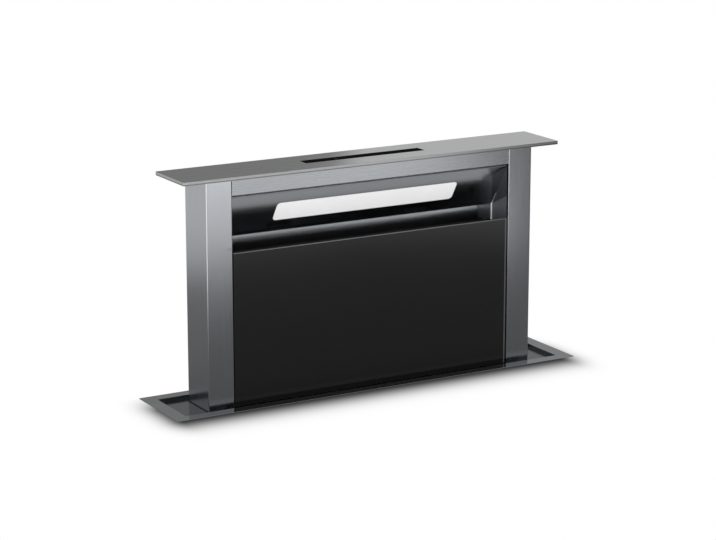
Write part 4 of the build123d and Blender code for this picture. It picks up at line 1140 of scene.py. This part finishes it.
@dataclass
class LiftDrive(Assembly):
    """Guide rails, toothed belts on their pulleys, the shaft, its gearbox and motor.

    The motor's head and tail are rows of (distance from that end of its can, share of its radius).
    """

    belt_width: float = 10.0 * MM
    belt_thickness: float = 2.0 * MM
    tooth_pitch: float = 5.0 * MM
    tooth_depth: float = 0.8 * MM
    head: Stops = ((0.0, 0.95), (2 * MM, 1.0))
    tail: Stops = ((-2 * MM, 1.0), (0.0, 0.94), (0.0, 0.82), (6 * MM, 0.8), (7 * MM, 0.76))
    grooves: tuple[float, ...] = (0.12, 0.2, 0.8, 0.88)
    groove: float = 0.8 * MM

    coats = (
        (BRIGHT, "guide_rails", "drive_shaft"),
        (RUBBER, "drive_belts"),
        (CAST, "lift_gearbox", "drive_pulleys"),
        (WHITE_PLASTIC, "left_idler", "right_idler"),
        (ZINC, "idler_axles"),
        (BLACK_PLASTIC, "shaft_bearings"),
        (BLACK_METAL, "lift_motor"),
    )

    def belt(self, low: Point, high: Point) -> Patch:
        """A toothed belt: an oblong section carried round two pulleys.

        The path's point is the nearer pulley centre, or a place between them, plus a radius along
        the outward normal. The inner radius steps between its least value at a tooth and that plus
        the tooth's depth in a gap.

        Args:
            low: The belt's lowest corner.
            high: Its highest corner.

        Returns:
            The endless belt.
        """
        outer = (high[1] - low[1]) / 2
        foot, head = low[2] + outer, high[2] - outer
        run, bend = head - foot, np.pi * outer
        teeth = int(round(2 * (run + bend) / self.tooth_pitch))
        travel = np.linspace(0, 2 * (run + bend), 4 * teeth, endpoint=False)
        up, down = np.clip(travel, 0, run), np.clip(travel - run - bend, 0, run)
        over = np.clip(travel - run, 0, bend) + np.clip(travel - 2 * run - bend, 0, bend)
        turn = np.pi - over / outer
        gap = np.tile([0.0, 0.0, 1.0, 1.0], teeth) * self.tooth_depth
        inside, outside = outer - self.belt_thickness + gap, np.full_like(gap, outer)
        radii = np.stack([inside, inside, outside, outside], axis=-1)
        points = np.zeros((len(travel), 4, 3))
        points[..., 0] = np.array([low[0], high[0], high[0], low[0]])
        points[..., 1] = (low[1] + high[1]) / 2 + radii * np.cos(turn)[:, None]
        points[..., 2] = (foot + up - down)[:, None] + radii * np.sin(turn)[:, None]
        return loft(points, endless=True)

    def motor(self) -> Patch:
        """The motor: a turned can with grooves, each a ramp down, a floor and a ramp up, and a cap.

        Returns:
            The turned skin.
        """
        low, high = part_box("lift_motor")
        radius, cut = (high.y - low.y) / 2, self.groove
        body = high.x - low.x - self.tail[-1][0]
        profile = [(level, radius * share) for level, share in self.head]
        for share in self.grooves:
            floor = ((0, radius), (1, radius - cut), (2, radius - cut), (3, radius))
            profile += [(body * share + step * cut, size) for step, size in floor]
        profile += [(body + level, radius * share) for level, share in self.tail]
        middle = (low + high) / 2
        return lathe(Axis.X, (low.x, middle.y, middle.z), profile)

    def build(self, bench: Workshop) -> None:
        """Makes the belts and the motor.

        Args:
            bench: Where pieces are made.
        """
        low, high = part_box("drive_belts")
        sides = ((low.x, low.x + self.belt_width), (high.x - self.belt_width, high.x))
        belts = [self.belt((near, *low.yz), (far, *high.yz)) for near, far in sides]
        bench.piece("toothed_belts", belts, "housing", RUBBER, "black_rubber", "drive_belts")
        can = [self.motor()]
        bench.piece("motor_can", can, "housing", BLACK_METAL, "black_metal", "lift_motor")


@dataclass
class Housing(Assembly):
    """The sheet box under the worktop, its pressed ribs, welds and levelling feet."""

    rib_width: float = 14.0 * MM
    rib_height: float = 3.0 * MM
    rib_share: float = 0.72
    back_ribs: int = 6
    front_rib_shift: float = 26.0 * MM
    weld: Pair = (2.6 * MM, 0.35 * MM)
    weld_pitch: float = 48.0 * MM
    weld_inset: float = 5.0 * MM
    thread_pitch: float = 1.5 * MM
    thread_depth: float = 0.45 * MM
    thread_rings: int = 5
    pad_height: float = 8.0 * MM
    pad_arris: float = 1.0 * MM
    pad_shares: Pair = (0.8, 0.45)
    bolt_radius: float = 5.0 * MM

    coats = (
        (ZINC, "housing_back", "housing_front", "housing_sides", "housing_floor"),
        (BRIGHT, "left_levelling_foot", "right_levelling_foot"),
    )

    def ribs(self) -> list[Patch]:
        """Upright ribs pressed into the back sheet, and one into the front beside the blower.

        Returns:
            The ribs.
        """
        low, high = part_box("housing_back")
        z, spacing = (high.z + low.z) / 2, (high.x - low.x) / (self.back_ribs + 1)
        size = ((high.z - low.z) * self.rib_share, self.rib_width)
        back = [(low.x + spacing * (k + 1), high.y, z) for k in range(self.back_ribs)]
        ribs = [swage(Axis.Y, place, size, self.rib_height) for place in back]
        low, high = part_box("housing_front")
        x = (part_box("blower_case")[1].x + high.x) / 2 + self.front_rib_shift
        return ribs + [swage(Axis.Y, (x, low.y, z), size, -self.rib_height)]

    def welds(self) -> list[Patch]:
        """Rows of spot welds down the ends of both long sheets.

        Returns:
            The rows.
        """
        low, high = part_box("housing_back")
        front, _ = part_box("housing_front")
        radius, height = self.weld
        z = np.arange(low.z + self.weld_pitch, high.z - self.weld_pitch / 2, self.weld_pitch)
        rows = []
        for y, rise in ((high.y, height), (front.y, -height)):
            for x in (low.x + self.weld_inset, high.x - self.weld_inset):
                places = np.stack([np.full_like(z, x), np.full_like(z, y), z], axis=-1)
                rows.append(dots(Axis.Y, places, radius, rise))
        return rows

    def foot(self, low: Point, high: Point) -> list[Patch]:
        """A levelling foot: a turned pad under a threaded bolt.

        The bolt's radius is its own plus the thread's depth times a triangle wave of the height
        over the pitch less the turn.

        Args:
            low: The foot's lowest corner.
            high: Its highest corner.

        Returns:
            The pad and the bolt.
        """
        centre = ((low[0] + high[0]) / 2, (low[1] + high[1]) / 2, low[2])
        radius, top, arris = (high[0] - low[0]) / 2, self.pad_height, self.pad_arris
        shoulder, neck = self.pad_shares
        pad = [(0.0, radius - arris), (arris, radius), (top - 3 * arris, radius)]
        pad += [(top - arris, radius * shoulder), (top, radius * neck)]
        turn = full_turn(HEAD_POINTS)
        levels = np.arange(top - arris, high[2] - low[2], self.thread_pitch / self.thread_rings)
        phase = np.mod(levels[:, None] / self.thread_pitch - turn / (2 * np.pi), 1.0)
        radii = self.bolt_radius - self.thread_depth * 2 * np.abs(phase - 0.5)
        bolt = loft(stack(Axis.Z, levels, circles(radii, turn), centre))
        return [lathe(Axis.Z, centre, pad), bolt]

    def build(self, bench: Workshop) -> None:
        """Makes the ribs, the welds and the feet.

        Args:
            bench: Where pieces are made.
        """
        bench.piece("pressed_ribs", self.ribs(), "housing", ZINC, "zinc_sheet")
        bench.piece("spot_welds", self.welds(), "housing", WELD, "zinc_sheet")
        for side in ("left", "right"):
            node, body = f"{side}_levelling_foot", f"{side}_foot"
            foot = self.foot(*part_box(node))
            bench.piece(f"{side}_threaded_foot", foot, body, BRIGHT, "bright_steel", node)


@dataclass
class Blower(Assembly):
    """The fan in its sheet case, the outlet collar and the damper flaps."""

    collar_radius: float = 75.0 * MM
    bead: Pair = (5.0 * MM, 1.3 * MM)
    bead_insets: tuple[float, ...] = (6 * MM, 26 * MM, 46 * MM)
    field_margin: float = 34.0 * MM
    field_height: float = 1.4 * MM
    field_sink: float = 0.3 * MM
    field_steps: int = 6
    field_draw: float = 5.0 * MM
    field_corner: float = 22.0 * MM
    plate_size: Pair = (44.0 * MM, 74.0 * MM)
    plate_corner: float = 2.0 * MM
    plate_rise: Stops = ((0.0, 0.0), (-0.35 * MM, 0.0), (-0.5 * MM, 0.3 * MM))
    plate_sink: float = 0.1 * MM
    screw: Pair = (4.0 * MM, -2.2 * MM)
    rim: float = 12.0 * MM
    case_flange: float = 1.2 * MM
    lid_inset: float = 10.0 * MM

    coats = (
        (ZINC, "blower_case", "blower_cover", "motor_bracket"),
        (BLACK_PLASTIC, "scroll", "outlet_collar", "front_damper_flap", "rear_damper_flap"),
        (GREY_PLASTIC, "impeller"),
        (BLACK_METAL, "blower_motor"),
    )

    def beads(self) -> list[Patch]:
        """The beads round the outlet collar.

        Returns:
            The beads.
        """
        low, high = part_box("outlet_collar")
        _, y, z = (low + high) / 2
        places = [(high.x - inset, y, z) for inset in self.bead_insets]
        return [ring_bead(Axis.X, place, self.collar_radius, self.bead) for place in places]

    def cover(self, bench: Workshop) -> None:
        """Raises the cover's field, drawn in as a quarter cosine wave, and lays a plate on it.

        Args:
            bench: Where pieces are made.
        """
        low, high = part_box("blower_cover")
        x, _, z = (low + high) / 2
        size = np.array([high.z - low.z, high.x - low.x]) - 2 * self.field_margin
        slope = quarter_turn(self.field_steps)
        levels = np.concatenate([[self.field_sink], -self.field_height * np.sin(slope)])
        draw = np.concatenate([[0.0], self.field_draw * (1 - np.cos(slope))])
        outlines = rounded(size[0] - 2 * draw, size[1] - 2 * draw, self.field_corner - draw)
        field = loft(stack(Axis.Y, levels, outlines, (x, low.y, z)))
        bench.piece("cover_field", [field], "housing", ZINC, "zinc_sheet")
        face = low.y - self.field_height + self.plate_sink
        levels, draw = np.array(self.plate_rise).T
        tall, wide = self.plate_size
        outlines = rounded(tall - draw, wide - draw, self.plate_corner - draw)
        place = (x + size[1] / 4, face, z - size[0] / 4)
        plate = loft(stack(Axis.Y, levels, outlines, place))
        bench.piece("rating_plate", [plate], "housing", PLATE_METAL, "filter_aluminium")

    def screws(self) -> list[Patch]:
        """The screws of the cover, the case's flange and the control box's lid.

        Returns:
            The screws' heads.
        """
        low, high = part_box("blower_cover")
        case_low, case_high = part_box("blower_case")
        lid_low, lid_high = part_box("control_cover")
        middle, half, inset = (low.z + high.z) / 2, self.rim / 2, self.lid_inset
        rows = (
            (low, high, low.y, half, half, (middle,)),
            (case_low, case_high, case_high.y - self.case_flange, half, 2 * self.rim, (middle,)),
            (lid_low, lid_high, lid_low.y, inset, inset, ()),
        )
        return [
            screw_head(Axis.Y, (x, y, z), self.screw)
            for near, far, y, aside, above, between in rows
            for x in (near.x + aside, far.x - aside)
            for z in (near.z + above, *between, far.z - above)
        ]

    def build(self, bench: Workshop) -> None:
        """Makes the collar's beads, the cover's raised field, the rating plate and the screws.

        Args:
            bench: Where pieces are made.
        """
        bench.piece("collar_beads", self.beads(), "housing", BLACK_PLASTIC, "black_plastic")
        self.cover(bench)
        screws = self.screws()
        bench.piece("case_screw_heads", screws, "housing", BRIGHT, "bright_steel", "case_screws")


@dataclass
class ControlBox(Assembly):
    """The plastic box of the electrics, its ribbed cover and the mains gland."""

    rib_count: int = 5
    rib_width: float = 3.0 * MM
    rib_height: float = 1.0 * MM
    rib_share: float = 0.62
    gland_radius: float = 10.0 * MM
    gland_length: float = 18.0 * MM
    gland_arris: float = 0.4 * MM
    wall: float = 3.0 * MM
    neck_radius: float = 7.5 * MM
    dome_radius: float = 8.3 * MM
    bore: float = 4.0 * MM
    ridges: int = 16
    ridge_depth: float = 0.07

    coats = (
        (GREY_PLASTIC, "control_box", "control_cover"),
        (CIRCUIT, "control_board"),
        (BLACK_PLASTIC, "mains_gland"),
    )

    def gland(self, low: Point, high: Point) -> Patch:
        """The mains gland: rings from its inner nut down, round its foot and back up its bore.

        Each row is a ring's level, radius and form: round, a hexagon, or ridged, which is 1 less
        the ridge's depth times a cosine wave of the turn.

        Args:
            low: The gland's lowest corner.
            high: Its highest corner.

        Returns:
            The closed gland, open through its bore.
        """
        turn = full_turn(6 * self.ridges)
        even, six = np.ones_like(turn), hexagon(turn)
        ridged = 1 - self.ridge_depth * (0.5 + 0.5 * np.cos(self.ridges * turn))
        under = low[2] + self.gland_length
        nut, lip, full = high[2] - under, self.gland_arris, self.gland_radius
        rows = [
            (nut, full - lip, even),
            (nut - lip, full, even),
            (nut - self.wall, full, even),
            (nut - self.wall, self.neck_radius, even),
            (0.0, self.neck_radius, even),
            (0.0, full, six),
            (-6 * MM, full, six),
            (-6 * MM, self.dome_radius, ridged),
            (-14 * MM, self.dome_radius, ridged),
            (-16.4 * MM, self.dome_radius * 0.9, ridged),
            (-17.6 * MM, self.dome_radius * 0.74, even),
            (-self.gland_length, self.dome_radius * 0.64, even),
            (-17.5 * MM, self.bore * 1.08, even),
            (-16.5 * MM, self.bore, even),
            (nut - lip, self.bore, even),
            (nut, self.bore * 1.1, even),
        ]
        levels = [level for level, _, _ in rows]
        outlines = circles([radius * form for _, radius, form in rows], turn)
        centre = ((low[0] + high[0]) / 2, (low[1] + high[1]) / 2, under)
        return loft(stack(Axis.Z, levels, outlines, centre), endless=True)

    def ribs(self) -> list[Patch]:
        """Level ribs over the middle half of the cover.

        Returns:
            The ribs.
        """
        low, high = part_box("control_cover")
        x, _, z = (low + high) / 2
        size = (self.rib_width, (high.x - low.x) * self.rib_share)
        rises = (high.z - low.z) / 2 * np.linspace(-0.5, 0.5, self.rib_count)
        return [swage(Axis.Y, (x, low.y, z + rise), size, -self.rib_height) for rise in rises]

    def build(self, bench: Workshop) -> None:
        """Makes the ridged gland and the cover's ribs.

        Args:
            bench: Where pieces are made.
        """
        gland = [self.gland(*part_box("mains_gland"))]
        bench.piece("ridged_gland", gland, "housing", BLACK_PLASTIC, "black_plastic", "mains_gland")
        bench.piece("cover_ribs", self.ribs(), "housing", GREY_PLASTIC, "grey_plastic")


# ------------------------------------------------------------------ studio


@dataclass
class PhotoCamera:
    """The camera that took the photograph, worked out from the vent's edges."""

    place: Point = (-2.2738, -3.9449, 1.3426)
    lens: float = 119.66
    sensor: float = 36.0
    clip: Pair = (0.1, 100.0)
    pitch: float = 13.856
    yaw: float = 29.831

    def build(self) -> None:
        """Makes the camera and sets it as the scene's own."""
        data = bpy.data.cameras.new("photo_camera")
        data.lens, data.sensor_width = self.lens, self.sensor
        data.clip_start, data.clip_end = self.clip
        camera = bpy.data.objects.new("photo_camera", data)
        camera.location = self.place
        camera.rotation_euler = (math.radians(90.0 - self.pitch), 0.0, math.radians(-self.yaw))
        bpy.context.scene.collection.objects.link(camera)
        bpy.context.scene.camera = camera


def oblong(x0: float, y0: float, x1: float, y1: float, z: float = 0.0) -> list[Point]:
    """The corners of a level oblong between two opposite ones."""
    return [(x0, y0, z), (x1, y0, z), (x1, y1, z), (x0, y1, z)]


@dataclass
class Studio:
    """White floor and surroundings, soft lamps, and what the steel and the glass mirror.

    A tone is what a surface sends out, from 0 for black to 1 for white. The mirrored tones are seen
    in gloss only, and each is a list of (metres from the column, tone). The sky's are lists of
    (share of the way from straight below to straight above, tone).
    """

    view: str = "Standard"
    floor_near: float = -5.0
    floor_side: float = 4.0
    floor_far: float = 4.0
    floor_tone: float = 0.8
    hole: Pair = (0.424, 0.0645)
    flange_back: float = 0.0865
    column_half: Pair = (0.364, 0.045)
    reach: float = 3.0
    middle_tones: Stops = (
        (0.0, 0.11), (0.45, 0.13), (0.64, 0.155), (0.85, 0.21), (1.0, 0.31), (1.15, 0.5),
        (1.31, 0.77), (1.45, 0.79), (1.6, 0.7), (1.9, 0.62), (2.3, 0.9), (3.0, 3.0),
    )
    left_tones: Stops = ((0.0, 0.11), (0.5, 0.16), (0.8, 0.45), (1.15, 1.4), (3.0, 1.5))
    right_tones: Stops = (
        (0.0, 0.14), (0.35, 0.24), (0.75, 0.38), (1.2, 0.55), (1.7, 1.2), (2.0, 1.7), (3.0, 1.6),
    )
    far_right_tones: Stops = ((0.0, 0.13), (0.4, 0.12), (1.2, 0.09), (1.6, 0.07), (3.0, 0.1))
    back_tones: Stops = (
        (0.0, 0.12), (0.3, 0.15), (0.85, 0.18), (1.2, 0.5), (1.6, 0.6), (3.0, 0.6),
    )
    left_zone: Pair = (-0.3, -0.6)
    right_zone: Pair = (0.75, 1.15)
    far_right_zone: Pair = (0.355, 0.36)
    far_right_slope: float = 0.6
    far_right_bend: Pair = (1.15, 0.15)
    back_zone: Pair = (0.0, 0.1)
    shadow_reach: Pair = (0.038, 0.063)
    shadow_depth: float = 0.97
    shadow_power: float = 2.09
    shadow_centre: Point = (-0.0125, -0.046, 0.0)
    shadow_half: Pair = (0.4257, 0.0358)
    world_light: float = 0.55
    sky_front: Stops = ((0.0, 0.5), (0.49, 0.5), (0.5, 0.15), (0.62, 0.2), (0.8, 0.35), (1.0, 0.4))
    sky_back: Stops = ((0.0, 0.5), (0.49, 0.5), (0.5, 0.19), (0.66, 0.22), (0.8, 0.5), (1.0, 0.6))
    sky_right: Stops = ((0.0, 0.5), (0.49, 0.5), (0.5, 0.25), (0.66, 0.28), (0.8, 0.6), (1.0, 0.6))
    sky_aside: Pair = (0.45, 0.54)
    sky_behind: Pair = (-0.1, 0.1)
    card_middle: Pair = (0.12, 0.22)
    card_y: float = 0.35
    card_side: float = 2.0
    card_height: Pair = (0.46, 2.0)
    card_tones: Stops = ((0.0, 0.235), (1.0, 0.63))
    low_card: tuple[float, ...] = (-0.31, -0.075, 0.33, -0.04)
    low_card_height: float = 0.304
    low_card_tone: float = 0.38
    lamps: tuple[tuple[str, Point, Point, float, float], ...] = (
        ("key_lamp", (-2.2, -2.6, 2.4), (0.0, 0.0, 0.1), 1.8, 90.0),
        ("fill_lamp", (2.4, -2.2, 2.2), (0.0, 0.0, 0.1), 1.6, 36.0),
        ("top_lamp", (0.0, 0.6, 3.0), (0.0, 0.0, 0.4), 2.4, 60.0),
    )

    def build(self) -> None:
        """Makes the world, the floor, the mirrored cards and the lamps."""
        bpy.context.scene.view_settings.view_transform = self.view
        self.world()
        self.floor()
        self.cards()
        for lamp in self.lamps:
            self.lamp(*lamp)

    def sky(self, graph: Graph, place: Socket) -> Socket:
        """What gloss sees of the sky: dim near the horizon, brighter overhead and to the right.

        Args:
            graph: The world's node tree.
            place: The direction.

        Returns:
            The sky's tone as a colour.
        """
        x, y, z = graph.split(place)
        rise = graph.math("ADD", graph.math("MULTIPLY", z, 0.5), 0.5)
        skies = (self.sky_front, self.sky_back, self.sky_right)
        front, back, right = (graph.greys(rise, stops) for stops in skies)
        back = graph.blend(graph.span(x, *self.sky_aside), back, right)
        return graph.blend(graph.span(y, *self.sky_behind), front, back)

    def world(self) -> None:
        """White to the camera and through glass, a toned sky in gloss, plain light to the rest."""
        world = bpy.data.worlds.new("studio")
        bpy.context.scene.world = world
        world.use_nodes = True
        graph = Graph(world.node_tree)
        camera, glossy, through = graph.rays(Rays.CAMERA, Rays.GLOSSY, Rays.TRANSMISSION)
        light = graph.glow("Background", WHITE, self.world_light)
        direction = graph.add("TexCoord").outputs["Generated"]
        gloss = graph.glow("Background", self.sky(graph, direction))
        lit = graph.choose(glossy, light, gloss)
        seen = graph.math("MAXIMUM", camera, through)
        final = graph.choose(seen, lit, graph.glow("Background", WHITE))
        graph.feed(graph.add("OutputWorld"), Surface=final)

    def away(self, graph: Graph, parts: Sequence[Socket], half: Pair, reach: Pair) -> Socket:
        """Distance from an upright box: the root of the squares of how far x and y lie outside it.

        Args:
            graph: The node tree.
            parts: The place's x, y and z.
            half: Half the box's width and depth.
            reach: What a distance of 1 means along x and along y.

        Returns:
            The distance.
        """
        squares = []
        for part, limit, unit in zip(parts, half, reach):
            outside = graph.math("SUBTRACT", graph.math("ABSOLUTE", part), limit)
            share = graph.math("DIVIDE", graph.math("MAXIMUM", outside, 0.0), unit)
            squares.append(graph.math("POWER", share, 2.0))
        return graph.math("SQRT", graph.math("ADD", *squares))

    def mirrored(self, graph: Graph, place: Socket) -> Socket:
        """The floor's tone in gloss, by the distance from the column and by the side.

        The far right's border is slanted: x + slope * y, bent by a second slope from some way on.

        Args:
            graph: The floor's node tree.
            place: The place on the floor.

        Returns:
            The tone as a colour.
        """
        x, y, _ = parts = graph.split(place)
        share = self.away(graph, parts, self.column_half, (self.reach,) * 2)
        start, slope = self.far_right_bend
        slanted = graph.math("ADD", graph.math("MULTIPLY", y, self.far_right_slope), x)
        further = graph.math("SUBTRACT", graph.math("MULTIPLY", y, -1.0), start)
        further = graph.math("MULTIPLY", graph.math("MAXIMUM", further, 0.0), slope)
        slanted = graph.math("ADD", slanted, further)
        zones = (
            (x, self.left_zone, self.left_tones),
            (x, self.right_zone, self.right_tones),
            (slanted, self.far_right_zone, self.far_right_tones),
            (y, self.back_zone, self.back_tones),
        )
        tone = graph.greys(share, self.by_reach(self.middle_tones))
        for value, zone, tones in zones:
            other = graph.greys(share, self.by_reach(tones))
            tone = graph.blend(graph.span(value, *zone), tone, other)
        return tone

    def by_reach(self, tones: Stops) -> Stops:
        """Tones by their distance's share of the reach."""
        return tuple((distance / self.reach, tone) for distance, tone in tones)

    def shadow(self, graph: Graph, place: Socket) -> Socket:
        """The floor as the camera sees it: 1 - depth * exp(-distance ** power).

        The distance is from a box under the flange's front, counted in reaches.

        Args:
            graph: The floor's node tree.
            place: The place on the floor.

        Returns:
            The tone as a colour.
        """
        moved = graph.add("VectorMath", operation="SUBTRACT")
        parts = graph.split(graph.fill(moved, place, self.shadow_centre))
        far = self.away(graph, parts, self.shadow_half, self.shadow_reach)
        fall = graph.math("MULTIPLY", graph.math("POWER", far, self.shadow_power), -1.0)
        dark = graph.math("MULTIPLY", graph.math("EXPONENT", fall), self.shadow_depth)
        return graph.greys(graph.math("SUBTRACT", 1.0, dark), ((0.0, 0.0), (1.0, 1.0)))

    def sheet(
        self, name: str, corners: list[Point], material: Material, seen: bool = False
    ) -> None:
        """Adds one flat four-cornered piece of the studio.

        Args:
            name: The piece's name.
            corners: Its corners.
            material: Its material.
            seen: Whether more than gloss sees it.
        """
        mesh = bpy.data.meshes.new(name)
        mesh.from_pydata(corners, [], [(0, 1, 2, 3)])
        mesh.materials.append(material)
        thing = bpy.data.objects.new(name, mesh)
        bpy.context.scene.collection.objects.link(thing)
        for ray in ("camera", "diffuse", "shadow", "transmission"):
            setattr(thing, f"visible_{ray}", seen)

    def floor(self) -> None:
        """The worktop's plane with a hole for the vent, seen in gloss alone behind the flange.

        It is white with a soft contact shadow to the camera, toned in gloss and unseen from below.
        """
        material, graph = blank("studio_floor")
        camera, glossy = graph.rays(Rays.CAMERA, Rays.GLOSSY)
        geometry = graph.add("NewGeometry")
        place, below = geometry.outputs["Position"], geometry.outputs["Backfacing"]
        gloss = graph.glow("Emission", self.mirrored(graph, place))
        seen = graph.glow("Emission", self.shadow(graph, place))
        matt = graph.fill(graph.add("BsdfDiffuse"), shade(WHITE, self.floor_tone))
        top = graph.choose(camera, graph.choose(glossy, matt, gloss), seen)
        graph.surface(graph.choose(below, top, graph.add("BsdfTransparent").outputs[0]))
        hole_x, hole_y = self.hole
        near, side, far = self.floor_near, self.floor_side, self.flange_back
        strips = {
            "floor_front": (-side, near, side, -hole_y),
            "floor_back": (-side, hole_y, side, far),
            "floor_left": (-side, -hole_y, -hole_x, hole_y),
            "floor_right": (hole_x, -hole_y, side, hole_y),
            "floor_mirrored": (-side, far, side, self.floor_far),
        }
        for name, strip in strips.items():
            self.sheet(name, oblong(*strip), material, name != "floor_mirrored")

    def cards(self) -> None:
        """Two cards that gloss alone sees: one upright behind the lid, one level under the panel.

        The upright one is dim on the left and bright on the right. The narrow level one glows
        upwards and is clear from below.
        """
        material, graph = blank("studio_card")
        x, _, _ = graph.split(graph.add("NewGeometry").outputs["Position"])
        share = graph.span(x, *self.card_middle)
        graph.surface(graph.glow("Emission", graph.greys(share, self.card_tones)))
        (foot, head), side, y = self.card_height, self.card_side, self.card_y
        corners = [(-side, y, foot), (side, y, foot), (side, y, head), (-side, y, head)]
        self.sheet("card_behind_lid", corners, material)
        material, graph = blank("studio_low_card")
        glow = graph.glow("Emission", WHITE, self.low_card_tone)
        clear = graph.add("BsdfTransparent").outputs[0]
        graph.surface(graph.choose(graph.add("NewGeometry").outputs["Backfacing"], glow, clear))
        corners = oblong(*self.low_card, self.low_card_height)
        self.sheet("card_under_panel", corners, material)

    def lamp(self, name: str, place: Point, aim: Point, size: float, power: float) -> None:
        """Adds a soft square lamp that gloss doesn't see.

        Args:
            name: The lamp's name.
            place: Where it stands.
            aim: What it points at.
            size: Its side.
            power: Its power in watts.
        """
        data = bpy.data.lights.new(name, "AREA")
        data.size, data.energy = size, power
        lamp = bpy.data.objects.new(name, data)
        lamp.location = place
        direction = Vector(aim) - Vector(place)
        lamp.rotation_euler = direction.to_track_quat("-Z", "Y").to_euler()
        lamp.visible_glossy = False
        bpy.context.scene.collection.objects.link(lamp)


def main() -> None:
    """Loads the frame, builds the studio and dresses the vent."""
    logging.basicConfig(level=logging.INFO)
    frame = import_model()
    PhotoCamera().build()
    Studio().build()
    bench = Workshop(Paintshop(frame["nodes"]))
    parts = (WorktopFlange, TopPlate, Column, LightPanel, GlassFront)
    parts += (GreaseFilters, LiftDrive, Housing, Blower, ControlBox)
    for part in parts:
        assembly = part()
        assembly.dress(bench)
        assembly.build(bench)


if __name__ == "__main__":
    main()
